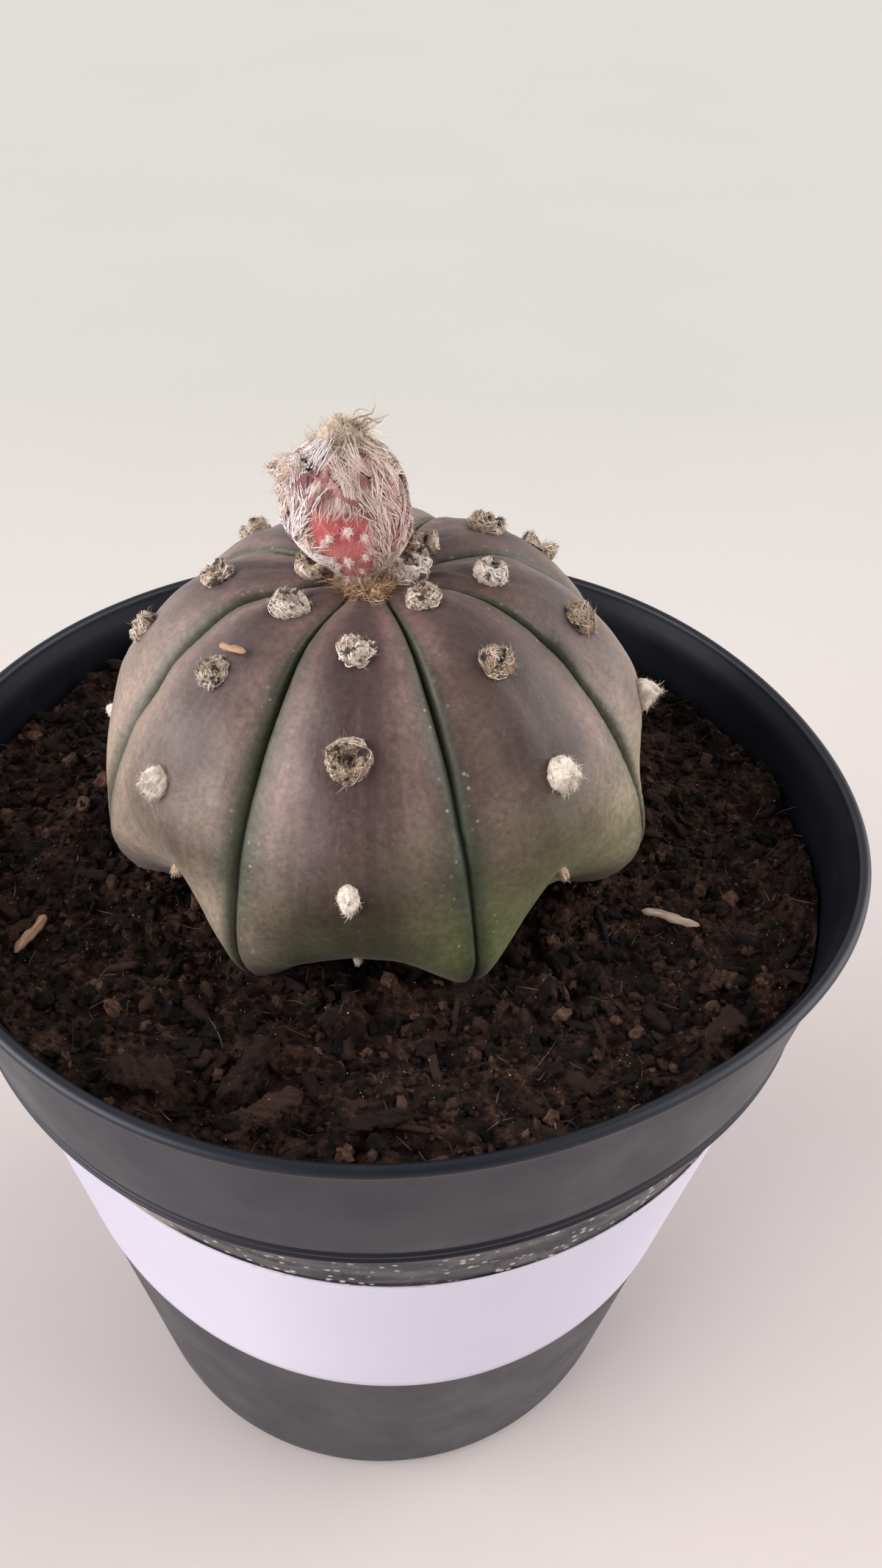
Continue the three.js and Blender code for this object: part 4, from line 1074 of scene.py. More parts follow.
def make_fruit():
    columns, rows = 144, 120
    t = np.linspace(0, 1, rows)[:, None]
    a = np.arange(columns)[None, :] * 360 / columns
    bare = bare_amount(a, t)
    x, z = np.radians(a) * 8, t * FRUIT_HEIGHT
    lump = 0.30 * lattice_noise(x / 2.3 + z / 5, z / 4.2) + 0.16 * lattice_noise(x / 0.9 + z / 3 + 5, z / 2.4)
    lump = lump + 0.07 * lattice_noise(x / 0.4, z / 1.1)
    lump = (lump * (1 - 0.75 * bare) + 0.2 * (1 - bare)) * np.sin(np.pi * np.clip(t, 0.03, 0.97)) ** 0.5
    out = directions(a)
    neck = [FRUIT_FOOT - 4.0 * UP + out * r for r in (0.05, STALK_RADIUS - 0.4)]
    cap = [fruit_axis(1.0) + out * r for r in (1.8, 0.05)]
    rings = np.concatenate([*neck, fruit_point(a, t, lump), *cap])
    bare = np.pad(bare, ((2, 2), (0, 0)))
    return mesh_object("fruit_skin", rings, ring_faces(rings, flipped=True), {"bare": bare})


def fruit_material():
    """Red skin under matted pale wool that leaves slanting red streaks and one bare patch."""
    n = Material("fruit_skin")
    place = n.place()
    cloud = place.noise(220, 4.0)
    lean = place.stretched(330, 330, 85, turn=(0.15, 0.32, 0))
    lock = lean.noise(1.0, 5.0, 0.62, 0.8)
    hair = lean.stretched(5, 5, 2).noise(1.0, 4.0, 0.6)
    red = cloud.ramp((0.3, (180, 70, 76)), (0.5, (198, 96, 96)), (0.75, (212, 142, 134)))
    mauve = cloud.ramp((0.3, (134, 76, 78)), (0.7, (180, 124, 120)))
    wool = hair.ramp((0.25, (186, 150, 138)), (0.45, (222, 198, 184)), (0.7, (246, 234, 226)))
    wool = n.mix(place.noise(150, 2.0).rise(0.4, 0.7, 0.0, 0.7), wool, (206, 182, 146))
    covered = lock.rise(0.46, 0.62)
    fuzz = n.value("bare") + (lock - 0.5) * 0.9
    colour = n.mix(fuzz.rise(0.3, 0.55), n.mix(covered, mauve, wool), red)
    height = covered * 0.5 + (hair * 0.5 + place.noise(1500, 3.0) * 0.2)
    rough = cloud.rise(0.3, 0.7, 0.5, 0.75)
    normal = n.bump(height, strength=0.6, distance=0.0006)
    return n.finish(
        colour, rough, normal, Subsurface_Weight=0.08,
        Subsurface_Scale=0.001, Sheen_Weight=0.25, Sheen_Roughness=0.5,
    )


def flow(a, t):
    """How the wool is combed at that place of the fruit: degrees of turn per share of height."""
    return 60 * lattice_noise(a / 30, t * 4.3) + 14 * np.sin(np.radians(a * 2 + 40))


def laid(random, a, t, lean, reach, lift, steps=7):
    """Paths that lie on the fruit from azimuths a and shares t, turned by lean degrees from upright."""
    count = len(a)
    s = np.linspace(0, 1, steps + 1)[None, :]
    lean, reach = (np.broadcast_to(v, count)[:, None] for v in (lean, reach))
    swing = np.radians(lean + random.normal(0, 9, (count, 1)) * s)
    t_path = t[:, None] + reach * np.cos(swing) * s / FRUIT_HEIGHT
    girth = np.maximum(fruit_radius(np.clip(t_path, 0, 1)), 3)
    a_path = a[:, None] + np.degrees(reach * np.sin(swing) * s / girth)
    up = lift * np.sin(np.pi * np.clip(s * 0.85 + 0.1, 0, 1)) * random.uniform(0.4, 1.3, (count, 1)) + 0.18
    path = fruit_point(a_path, np.minimum(t_path, 1), up)
    over, top = np.clip(t_path - 1, 0, 0.26)[..., None], fruit_axis(1.0)
    path = path + over * (-3.2 * (path - top) * (1, 1, 0) + 14.0 * UP)
    path += random.normal(0, 0.03, path.shape)
    return path, unit(np.cross(np.gradient(path, axis=1), directions(a_path))), s


def wool_tone(a, t):
    """Tone of the fruit's wool at that place: white at the left, partly paler wool and partly painted light
    from the left window, tan towards the top, pink at the right.
    """
    # Paler at the left: partly the wool's own tone, partly painted light from the left window.
    left = 0.34 * smoothstep(np.cos(np.radians(a - 195)), 0.3, 0.9)
    top = 0.2 * smoothstep(t, 0.6, 0.95)
    return 0.42 + left + top - 0.04 * smoothstep(np.cos(np.radians(a + 20)), 0.3, 0.9)


def over_patch(path):
    """How far over the bare patch the middle of each strip lies: 0 to 1."""
    middle = path[:, path.shape[1] // 2]
    t = (middle[:, 2] - FRUIT_FOOT[2]) / FRUIT_HEIGHT
    out = middle - fruit_axis(t)
    return bare_amount(np.degrees(np.arctan2(out[:, 1], out[:, 0])), t)


def add_lock(heap, random, a, t, lean, count, reach, spread, lift=0.5, width=0.15):
    """A lock of wool from one scale: it lies on the fruit, and its hairs fan out and curl a little."""
    starts = a + np.degrees(random.normal(0, spread / float(fruit_radius(t)), count))
    shares = np.clip(t + random.normal(0, 0.02, count), 0.02, 1)
    leans = lean + flow(a, t) + random.normal(0, 8, count)
    lift = lift * smoothstep(t, -0.05, 0.45) + 0.1
    path, side, s = laid(random, starts, shares, leans, reach * random.uniform(0.5, 1.15, count), lift)
    half = side * (random.uniform(0.4, 1.5, (count, 1, 1)) * width / 2) * (1 - 0.8 * s[..., None] ** 2)
    tone = np.clip(random.normal(wool_tone(a, t), 0.2, 1) + random.normal(0, 0.12, count), 0, 1)
    kept = over_patch(path) < random.uniform(0.2, 1.0, count)
    add_strips(heap, path[kept], half[kept], tone[kept], 0.25 + 0.75 * s[0])


# Bare or reddened tips of scales that show through the wool: azimuth, share of height, lean, length, width.
RED_TIPS = [
    (-112, 0.97, 140, 4.6, 1.6), (-92, 0.84, 118, 3.6, 0.9), (-66, 0.86, 8, 2.4, 1.3),
    (-110, 0.8, 15, 1.8, 0.8), (-148, 0.76, 40, 5.0, 1.8), (-38, 0.9, 165, 4.6, 1.2),
    (-66, 0.76, 150, 3.0, 1.3), (-126, 0.49, 20, 0.9, 0.9), (-170, 0.3, 25, 3.0, 1.0),
    (-122, 0.72, 20, 2.6, 0.8), (-134, 0.6, 15, 2.4, 0.7), (-45, 0.6, 170, 3.0, 0.9),
    (-28, 0.7, 160, 3.4, 0.9), (-20, 0.5, 10, 2.6, 0.8),
]
# The fringe that hangs over the edges of the bare patch: turn from its middle, share of height, lean, length.
FRINGE = [
    (-40, 0.12, 8, 4), (-36, 0.3, 15, 4), (-28, 0.12, 5, 3.5), (-26, 0.3, -5, 3), (36, 0.08, -20, 4.5),
    (38, 0.22, -25, 4.5), (36, 0.38, -20, 4), (-30, 0.54, 20, 3.5), (25, 0.6, -15, 3.5), (2, 0.68, 5, 4),
    (-14, 0.66, 20, 3.5), (14, 0.66, -20, 4), (28, 0.3, -30, 3), (30, 0.45, -40, 3),
]
# The tuft that stands off to the left: azimuth, share of height, size, rise.
LEFT_TUFTS = [(190, 0.87, 3.6, 2.7), (206, 0.93, 2.8, 2.0), (178, 0.8, 3.0, 1.8), (198, 0.74, 3.0, 1.3)]
# Small white tufts on the bare patch: turn from its middle, share of height, size.
PATCH_TUFTS = [
    (8, 0.6, 1.8), (-10, 0.54, 1.7), (-16, 0.5, 1.3), (22, 0.55, 1.6), (2, 0.36, 1.7), (20, 0.4, 1.3),
    (26, 0.44, 1.0), (14, 0.24, 1.0), (-14, 0.28, 1.3), (-14, 0.36, 1.0), (6, 0.07, 3.8), (24, 0.09, 2.4),
    (-12, 0.09, 2.6),
]
# Scale tips that dried nearly black: azimuth, share of height, how far out, size.
DRY_FLECKS = [
    (191, 0.9, 3.0, 0.8), (-128, 0.95, 0.6, 1.0), (-142, 0.99, 0.9, 0.8), (-154, 0.5, 0.5, 0.7),
    (-150, 0.62, 0.6, 0.6), (-62, 0.93, 0.6, 0.8), (-30, 0.72, 0.6, 0.7), (-170, 0.8, 0.8, 0.6),
    (60, 0.8, 0.7, 0.9), (120, 0.6, 0.6, 0.8),
]


def drawn_tips(random, count, azimuth, share, lean, length, width):
    """More tips, from ranges and the leans' mean and spread."""
    return [
        (random.uniform(*azimuth), random.uniform(*share), random.normal(*lean), random.uniform(*length),
         random.uniform(*width))
        for _ in range(count)
    ]


def make_red_tips():
    heap = Heap()
    random = np.random.default_rng(37)
    more = drawn_tips(
        random, 22, azimuth=(0, 180), share=(0.3, 0.9), lean=(0, 30), length=(2, 4.4), width=(0.7, 1.5)
    )
    small = drawn_tips(
        random, 30, azimuth=(-185, -5), share=(0.25, 0.95), lean=(20, 50), length=(1.2, 3), width=(0.3, 0.7)
    )
    small = [tip for tip in small if bare_amount(tip[0], tip[1] + 0.05) < 0.02]
    a, t, lean, reach, width = np.array(RED_TIPS + more + small).T
    path, side, s = laid(random, a, t, lean, reach, 0.38, steps=12)
    blade = np.sin(np.pi * np.clip(s * 0.97 + 0.02, 0, 1)) ** 0.6 * random.uniform(0.8, 1.2, (len(a), s.size))
    half = side * (0.8 * blade * width[:, None] / 2)[..., None]
    out = directions(a)[:, None, :] * 0.22
    add_strips(heap, path + out, half, random.uniform(0, 1, len(a)), np.sin(np.pi * s[0]))
    return heap.made("red_scale_tips")


FRUIT_SCALES = 230
LOCK_HAIRS = 26
THIN_LOCK_HAIRS = 8
FRINGE_HAIRS = 20
FRUIT_WISPS = 260


def add_scales(heap, random):
    """A lock from each scale. The locks cross each other, and are thin over the red tips."""
    for i in range(FRUIT_SCALES):
        t = mix(0.05, 0.97, (i + 0.5) / FRUIT_SCALES) + random.uniform(-0.02, 0.02)
        a = (i * GOLDEN_ANGLE + random.uniform(-12, 12)) % 360
        if bare_amount(a, t) > 0.35:
            continue
        near_tip = any(abs((a - ta + 180) % 360 - 180) < 9 and abs(t - tt) < 0.07 for ta, tt, *_ in RED_TIPS)
        count = THIN_LOCK_HAIRS if near_tip else LOCK_HAIRS
        lean, reach = random.normal(0, 24), random.uniform(3.4, 6.6)
        add_lock(heap, random, a, t, lean, count, reach, spread=0.45)


def add_left_tuft(heap, random):
    for a, t, size, rise in LEFT_TUFTS:
        frame_at = standing(fruit_point(a, t, -0.2), unit(directions(a) + 0.35 * UP), UP)
        pad = Pad(random, PLUG_SECTION, frame_at, size, rise)
        curls = {"count": 260, "curl": 1.1, "length": 0.3, "width": 0.08}
        strands = {"count": 70, "length": 0.8, "width": 0.13, "pale": 0.2}
        add_tuft(heap, random, pad, curls, strands, pale=0.1)
    count = 14
    for a, t, reach in ((188, 0.92, 3.4), (200, 0.92, 2.8)):
        turns, shares = random.normal(0, 7, count), random.normal(0, 0.03, count)
        root = fruit_point(a + turns, np.clip(t + shares, 0, 1), 0.1)
        lean = directions(a) * random.uniform(0.4, 1.0, (count, 1)) + 0.1 * UP
        length = (0.3 * reach, 0.85 * reach)
        hairs(heap, random, root, lean, jitter=0.4, length=length, width=(0.12, 0.35), bow=1.0, steps=6)


def make_fruit_wool():
    """Locks of wool all over the fruit, and small white tufts on the bare patch."""
    heap, dots = Heap(), Heap()
    random = np.random.default_rng(31)
    centre = BARE_PATCH[0]
    add_scales(heap, random)
    for turn, t, lean, reach in FRINGE:
        a, reach = centre + 1.1 * turn, 0.8 * reach
        add_lock(heap, random, a, t, lean, FRINGE_HAIRS, reach, spread=0.9, lift=0.35, width=0.11)
    # loose wisps off the outline
    count = FRUIT_WISPS
    a, t = random.uniform(0, 360, count), random.uniform(0.12, 1, count)
    lean = directions(a) * random.uniform(0.2, 0.9, (count, 1)) + 0.8 * UP
    root = fruit_point(a, t, 0.3)
    hairs(heap, random, root, lean, jitter=0.5, length=(0.5, 1.2), width=(0.05, 0.08), bow=0.8, steps=5)
    add_left_tuft(heap, random)
    for turn, t, size in PATCH_TUFTS:
        frame_at = standing(fruit_point(centre + turn, t, 0.02), directions(centre + turn), UP)
        pad = Pad(random, PLUG_SECTION, frame_at, size=0.62 * size, rise=0.2 * size + 0.2)
        add_tuft(dots, random, pad, {"count": 150, "curl": 1.0, "length": 0.8, "width": 0.06})
    return heap.made("fruit_wool"), dots.made("fruit_tufts")


def make_dry_flecks():
    heap = Heap()
    random = np.random.default_rng(43)
    count = 7
    for a, t, lift, size in DRY_FLECKS:
        turns, shares = random.normal(0, 2.5, count), random.normal(0, 0.015, count)
        root = fruit_point(a + turns, np.clip(t + shares, 0, 1), lift)
        along = directions(a) * 0.25 + UP + random.normal(0, 0.6, (count, 3))
        length = size * random.uniform(0.5, 1.1, count)
        ribbons(heap, root, along, length, 0.4 * size, random.normal(0, 0.5, (count, 3)), random)
    return heap.made("dry_scale_flecks")


# Long single hairs at the left and right of the dried flower: start, way, length, bend.
LONG_HAIRS = [
    ((-2.6, -1.0, 2.4), (-0.5, 0, 1.0), 3.6, (0.35, 0, 0.1)),
    ((-4.4, -0.8, 1.2), (-0.6, 0, 0.9), 3.4, (0.7, 0, 0.3)),
    ((-0.8, -1.4, 3.4), (0.3, 0, 1.0), 1.8, (-0.9, 0, 0)),
    ((2.6, -1.6, 1.6), (0.9, -0.2, 0.1), 5.6, (0.1, 0, -0.8)),
    ((3.4, -1.0, 0.6), (1.0, 0, 0.2), 3.4, (0, 0, -0.5)),
    ((-1.6, -1.2, 3.0), (-0.3, 0, 1.0), 3.0, (-0.5, 0, 0.3)),
]


def dome(a, ring):
    """Points of the low dome over the fruit, at share ring of its radius."""
    rise = 3.9 * (1 - np.minimum(ring, 1.2) ** 1.3) - 0.4
    return fruit_axis(1.0) + directions(a) * (ring * REMAINS_RADIUS * 1.15)[:, None] + np.outer(rise, UP)


def add_matted_locks(heap, random, locks):
    """Locks that run up the dome and cross each other."""
    count = 26
    for i in range(locks):
        a, ring = (i * GOLDEN_ANGLE) % 360, math.sqrt((i + 0.5) / locks) * 1.05
        turns = a + random.normal(0, 5, count) / max(ring, 0.3)
        root = dome(turns, np.clip(ring + random.normal(0, 0.07, count), 0, 1.2))
        lean = random.normal(0, 0.55, 3) * np.array([1, 1, 0.2])
        along = -directions(a) * 0.8 + 0.6 * UP + lean + random.normal(0, 0.16, (count, 3))
        length = random.uniform(1.4, 3.2) * random.uniform(0.6, 1, count)
        width = random.uniform(0.07, 0.2, count)
        bend = random.normal(0, 0.3, (count, 3)) + 0.2 * directions(a)
        ribbons(heap, root, along, length, width, bend, random, steps=5)


def make_remains():
    """Dried petals matted with wool, in a low dome that closes the top of the fruit."""
    heap = Heap()
    random = np.random.default_rng(41)
    top = fruit_axis(1.0)
    add_matted_locks(heap, random, 60)
    # crumpled petals
    count = 16
    a, ring = random.uniform(0, 360, count), np.sqrt(random.uniform(0.02, 1, count))
    lean = directions(a) * random.normal(-0.3, 0.6, (count, 1)) + 0.9 * UP
    root = dome(a, ring) - 0.4 * UP
    hairs(heap, random, root, lean, jitter=0.4, length=(0.8, 1.6), width=(0.4, 1.0), bow=0.5, steps=6)
    # the scrap that stands off behind, to the right
    root = top + (1.6, 0.6, 2.6) + random.normal(0, 0.45, (40, 3))
    lean = (1.0, 0.1, 0.35)
    hairs(heap, random, root, lean, jitter=0.22, length=(1.6, 3.8), width=(0.15, 0.6), bow=0.35, steps=6)
    # fine curved wisps
    count = 130
    a, ring = random.uniform(0, 360, count), np.sqrt(random.uniform(0, 1.3, count))
    lean = directions(a) * random.normal(0.1, 0.7, (count, 1)) + 0.7 * UP
    root = dome(a, ring)
    hairs(heap, random, root, lean, jitter=0.5, length=(0.6, 1.8), width=(0.04, 0.08), bow=0.8, steps=6)
    for start, along, length, bend in LONG_HAIRS:
        root, along, bend = top + np.array([start]), np.array([along]), np.array([bend])
        ribbons(heap, root, along, length, 0.12, bend, random, steps=8)
    frame_at = (top - 0.2 * UP, *np.eye(3))
    pad = Pad(random, CONE_SECTION, frame_at, size=2.3 * REMAINS_RADIUS, rise=3.5)
    add_tuft(heap, random, pad, {"count": 500, "curl": 1.0, "length": 0.22, "width": 0.07})
    return heap.made("dried_flower")


# ---------------------------------------------------------------- soil


def soil_height(x, y):
    """The same broad surface as the solid soil."""
    tilt = directions(SOIL_TILT_AZIMUTH)
    level = SOIL_LEVEL + SOIL_TILT * (x * tilt[0] + y * tilt[1]) / float(inner_radius(SOIL_LEVEL))
    heaps = 0.9 * lattice_noise(x / 13 + 4.3, y / 13 + 1.7)
    crumbs = 0.75 * lattice_noise(x / 5.2, y / 5.2) + 0.35 * lattice_noise(x / 2.9 + 9.1, y / 2.9)
    lumps = np.zeros(np.shape(x))
    for lx, ly, length, width, rise, azimuth in SOIL_LUMPS:
        d = directions(azimuth)
        u = ((x - lx) * d[0] + (y - ly) * d[1]) / length
        v = ((y - ly) * d[0] - (x - lx) * d[1]) / width
        lumps = np.maximum(lumps, rise * np.sqrt(np.clip(1 - u**4 - v * v, 0, 1)))
    return level + heaps + crumbs + lumps


def fine_soil(x, y):
    """Height of the crumbly surface, each crumb's own tone, and how far the place stands out of the pits."""
    big, own_big = clumps(x, y, 4.3, 3.3)
    mid, own_mid = clumps(x, y, 2.1, 11.7)
    heaped = 0.9 * np.exp(-((np.maximum(foot_gap(x, y), 0) / 2.5) ** 2))
    height = soil_height(x, y) - 1.5 + heaped + 1.3 * big + 0.9 * mid
    return height, 0.25 + 0.15 * own_big + 0.25 * own_mid, np.clip(0.6 * big + 0.5 * mid, 0, 1)


PRESSED_LEVEL = 117.6  # highest the soil reaches right under the cactus


def make_soil():
    """The bed of soil down to the pot's floor. It lies under the cactus, which has pressed its form in it."""
    columns = 400
    radii = np.concatenate([[0.02, 8, 16, 22], np.linspace(25, 69.9, 112)])
    azimuth = np.arange(columns) * 360 / columns
    r, a = np.meshgrid(radii, azimuth, indexing="ij")
    surface = turned(a, r + out_of_round(a, SOIL_LEVEL) * (r > 30), 0)
    x, y = surface[..., 0], surface[..., 1]
    height, own, top = fine_soil(x, y)
    surface[..., 2] = mix(height, np.minimum(height, PRESSED_LEVEL), 1 - smoothstep(foot_gap(x, y), -9, -2.5))
    side = [
        turned(azimuth, inner_radius(z) - 0.5 + out_of_round(azimuth, z), z)
        for z in (118.0, BAND_FOOT + 1.6, BAND_FOOT - 0.7, 60.0, POT_FLOOR + 0.3)
    ]
    rings = np.concatenate([surface, [*side, turned(azimuth, 0.02, POT_FLOOR + 0.3)]])
    side_values = {"pad_width": ((0, 6), (0, 0)), "constant_values": 0.4}
    values = {"tone": np.pad(own, **side_values), "top": np.pad(top, **side_values)}
    return mesh_object("soil_bed", rings, ring_faces(rings), values)


def clear_of_cactus(x, y, spare):
    """True where a crumb of that size lies outside the cactus's foot and inside the pot."""
    azimuth = np.degrees(np.arctan2(y, x))
    inside = np.hypot(x, y) + spare < inner_radius(SOIL_LEVEL) + out_of_round(azimuth, SOIL_LEVEL) - 0.4
    return inside & (foot_gap(x, y) > 0.6 * spare)


SCATTER_HALF = 71


def scatter(random, count, spare):
    """Random places on the bare soil for things of that half size."""
    spots = random.uniform(-SCATTER_HALF, SCATTER_HALF, (count * 6, 2))
    return spots[clear_of_cactus(*spots.T, spare)][:count]


def on_soil(spots, lift):
    return np.column_stack([spots, fine_soil(*spots.T)[0] + lift])


SOIL_FIBRES = 900
PALE_GRAINS = 1500
BARK_SPLINTERS = 220


def make_crumbs():
    random = np.random.default_rng(61)
    lumps, crumbs, fibres, pale = Heap(), Heap(), Heap(), Heap()
    # heap, number, least and greatest size, steps of the ball
    sizes = ((lumps, 750, 1.8, 3.6, 2), (crumbs, 3000, 0.9, 1.9, 1), (crumbs, 4000, 0.45, 1.0, 1))
    for heap, count, low, high, steps in sizes:
        size = low * (high / low) ** (random.uniform(0, 1, count) ** 1.5)
        places = on_soil(scatter(random, count, high / 2), 0.22 * size)
        # Crumbs that sit low get painted shade, through their top value.
        raised = np.clip((places[:, 2] - soil_height(*places[:, :2].T) + 0.6) / 2.2, 0.25, 1)
        tone = random.uniform(0, 1, count) ** 1.4
        pebbles(heap, random, places, size, steps, flatness=0.5, tone=tone, top=raised)
    places = on_soil(scatter(random, SOIL_FIBRES, 1.5), 0.35)
    lean = directions(random.uniform(0, 360, SOIL_FIBRES))
    hairs(fibres, random, places, lean, jitter=0.25, length=(1.2, 4.0), width=(0.1, 0.3), bow=0.25)
    spots = scatter(random, PALE_GRAINS, 0.3)
    spots = spots[(spots[:, 1] < 12) | (random.uniform(0, 1, len(spots)) < 0.35)]
    size, tone = random.uniform(0.1, 0.3, len(spots)), random.uniform(0, 1, len(spots))
    pebbles(pale, random, on_soil(spots, 0.35), size, steps=1, tone=tone, tip=1.0)
    stones = [lumps.made("soil_lumps", False), crumbs.made("soil_crumbs", False)]
    return [*stones, fibres.made("soil_fibres"), pale.made("pale_grit")]


def board_grid(rows, columns):
    """Shares from -1 to 1 along a board, and angles round it."""
    return np.linspace(-1, 1, rows)[:, None], np.linspace(0, 2 * np.pi, columns, endpoint=False)[None, :]


def board(x, y, z):
    """Points and faces of a board from its grid of coordinates."""
    x, y, z = np.broadcast_arrays(x, y, z)
    return np.stack([x, y, z], -1).reshape(-1, 3), grid_faces(*x.shape, True)


def chip(random, length, width, thick, knobs=0.0):
    """A splinter of bark with worn edges, torn ends and knobs."""
    rows, columns = (36, 22) if knobs else (12, 10)
    u, a = board_grid(rows, columns)
    square = 1 / np.maximum(np.abs(np.cos(a)), np.abs(np.sin(a))) ** 0.75
    worn = 0.02 if knobs else 0.14
    girth = (1 - np.abs(u) ** 5) ** 0.5 * (1 + worn * random.uniform(-1, 1, (rows, 1)))
    girth = girth * (1 + worn * random.uniform(-1, 1, (rows, columns)))
    seed = random.uniform(0, 50)
    coarse = lattice_noise(u * length * 0.35 + 1.1 * np.cos(a) + seed, 1.1 * np.sin(a) - seed)
    close = lattice_noise(u * length * 0.8 + 3 * np.cos(a) + seed, 3 * np.sin(a) + 2 * seed)
    girth = girth * (1 + knobs * (coarse + 0.8 * close)) * square
    bow = random.uniform(-0.12, 0.12)
    x = length / 2 * u + 0.06 * length * random.uniform(-1, 1, (1, columns)) * np.abs(u) ** 3
    return board(x, width / 2 * girth * np.cos(a), thick / 2 * girth * np.sin(a) + bow * length * (1 - u**2))


def add_chip(heap, random, shape, place, azimuth, pitch, roll, tones):
    """Lays a chip on the soil, pitched and rolled by up to those degrees. Its grain goes with it."""
    local, faces = shape
    turns = ((azimuth, "Z"), (-random.uniform(-pitch, pitch), "Y"), (random.uniform(-roll, roll), "X"))
    about_z, about_y, about_x = (Matrix.Rotation(math.radians(angle), 3, axis) for angle, axis in turns)
    points = local @ np.array(about_z @ about_y @ about_x).T + np.array(place)
    heap.add(points, faces, tone=random.uniform(*tones), grain=local)


def make_bark():
    random = np.random.default_rng(67)
    heap = Heap()
    for x, y, length, width, _, azimuth in SOIL_LUMPS:
        if length >= 1.4 * width:
            shape = chip(random, 2 * length, 1.5 * width, 1.3 * width, knobs=0.45)
            place = (x, y, float(soil_height(x, y)) + 0.05 * width)
            add_chip(heap, random, shape, place, azimuth, pitch=5, roll=20, tones=(0.3, 0.8))
    for x, y in scatter(random, BARK_SPLINTERS, 2.2):
        length, width = random.uniform(2.6, 8.0), random.uniform(0.7, 2.2)
        shape = chip(random, length, width, random.uniform(0.4, 0.9) * width)
        place = (x, y, float(fine_soil(x, y)[0]) + 0.45)
        azimuth = random.uniform(0, 360)
        add_chip(heap, random, shape, place, azimuth, pitch=22, roll=50, tones=(0, 0.75))
    return heap.made("bark_chips")


def soil_material():
    n = Material("potting_mix")
    place = n.place()
    fine = place.noise(1000, 6.0, 0.7)
    tone = n.value("tone") * 0.5 + (fine - 0.2) * 0.75
    colour = tone.ramp((0.24, (18, 11, 9)), (0.42, (40, 25, 20)), (0.58, (84, 57, 47)), (0.8, (136, 102, 86)))
    # Painted shade in the gaps: darker where the place stands low between crumbs.
    colour = n.mix(n.value("top").fall(0.1, 0.65) * 0.8, colour, (9, 6, 5))
    sparkle = place.cells(900).fall(0.06, 0.1) * place.noise(420, 2.0).rise(0.58, 0.66)
    colour = n.mix(sparkle * 0.5, colour, (190, 172, 156))
    rough = place.noise(190, 5.0, 0.6).rise(0.3, 0.7, 0.78, 0.95)
    normal = n.bump(fine + place.cells(700) * 0.6, strength=0.9, distance=0.001)
    return n.finish(colour, rough, normal, Specular_IOR_Level=0.25)


def bark_material():
    n = Material("bark")
    place = n.place()
    grain = n.vector("grain").stretched(0.25, 2.2, 2.2).noise(1.0, 6.0, 0.65)
    tone = n.value("tone") * 0.55 + grain * 0.45
    colour = tone.ramp((0.2, (24, 15, 12)), (0.45, (46, 30, 25)), (0.7, (78, 55, 46)), (0.95, (120, 92, 78)))
    pale = place.cells(800).fall(0.08, 0.14) * place.noise(380, 2.0).rise(0.5, 0.6)
    colour = n.mix(pale * 0.6, colour, (176, 160, 144))
    normal = n.bump(grain + place.noise(900, 4.0, 0.7), strength=0.9, distance=0.0009)
    return n.finish(colour, grain.rise(0.3, 0.7, 0.7, 0.9), normal, Specular_IOR_Level=0.25)


def wood_material(name, *tones):
    n = Material(name)
    grain = n.vector("grain").stretched(0.3, 4.0, 4.0).noise(1.0, 5.0, 0.6)
    colour = grain.ramp(*zip((0.3, 0.5, 0.75), tones))
    return n.finish(colour, grain.rise(0.3, 0.7, 0.6, 0.8), n.bump(grain, strength=0.5, distance=0.0003))


def splinter(length, width, thick):
    """A thin strip of raw wood with drawn-out, split ends."""
    u, a = board_grid(21, 10)
    split = 1 + 0.4 * lattice_noise(u * 5 + 7, 1.4 * np.cos(a))
    girth = (1 - np.abs(u) ** 9) ** 0.7 * (1 - 0.3 * u**4) * split
    y = width / 2 * (girth * np.cos(a) + 0.35 * np.sin(u * 2.2))
    return board(length / 2 * u, y, thick / 2 * girth * np.sin(a))


def make_sliver(node):
    """A splinter in the place of its solid, along the solid's own length."""
    co = np.array([v.co[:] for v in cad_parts[node].data.vertices]) / MM
    centre = co.mean(0)
    _, _, axes = np.linalg.svd(co - centre)
    reach = (co - centre) @ axes.T
    length, width, thick = reach.max(0) - reach.min(0)
    local, faces = splinter(length, 0.78 * width, 0.6 * thick)
    return mesh_object(node + "_raw", local @ axes + centre, faces, {"grain": local})


# ---------------------------------------------------------------- the part

dress(make_pot(), pot_material(), "pot", "pot")
label = strip_object(
    "paper_label", LABEL_ENDS, low=0, width=LABEL_WIDTH, stand_off=0.08, thickness=0.14, steps=(260, 24),
    ripple=label_ripple,
)
dress(label, paper_material(), "paper", "label")
tape = strip_object(
    "clear_film", TAPE_ENDS, low=LABEL_WIDTH - TAPE_LAP, width=TAPE_WIDTH, stand_off=0.05, thickness=0.06,
    steps=(220, 22), ripple=tape_ripple, marks=tape_marks,
)
dress(tape, tape_material(), "tape", "clear_tape")

skin = skin_material()
body = dress(make_body(), skin, "cactus", "cactus_body")
dress(make_root(), skin, "cactus")
skin_points = [v.co / MM for v in body.data.vertices]
tree = BVHTree.FromPolygons(skin_points, [tuple(f.vertices) for f in body.data.polygons])


def skin_height(x, y):
    """Height of the cactus's top at that place."""
    return tree.ray_cast(Vector((x, y, 260)), Vector((0, 0, -1)))[0][2]


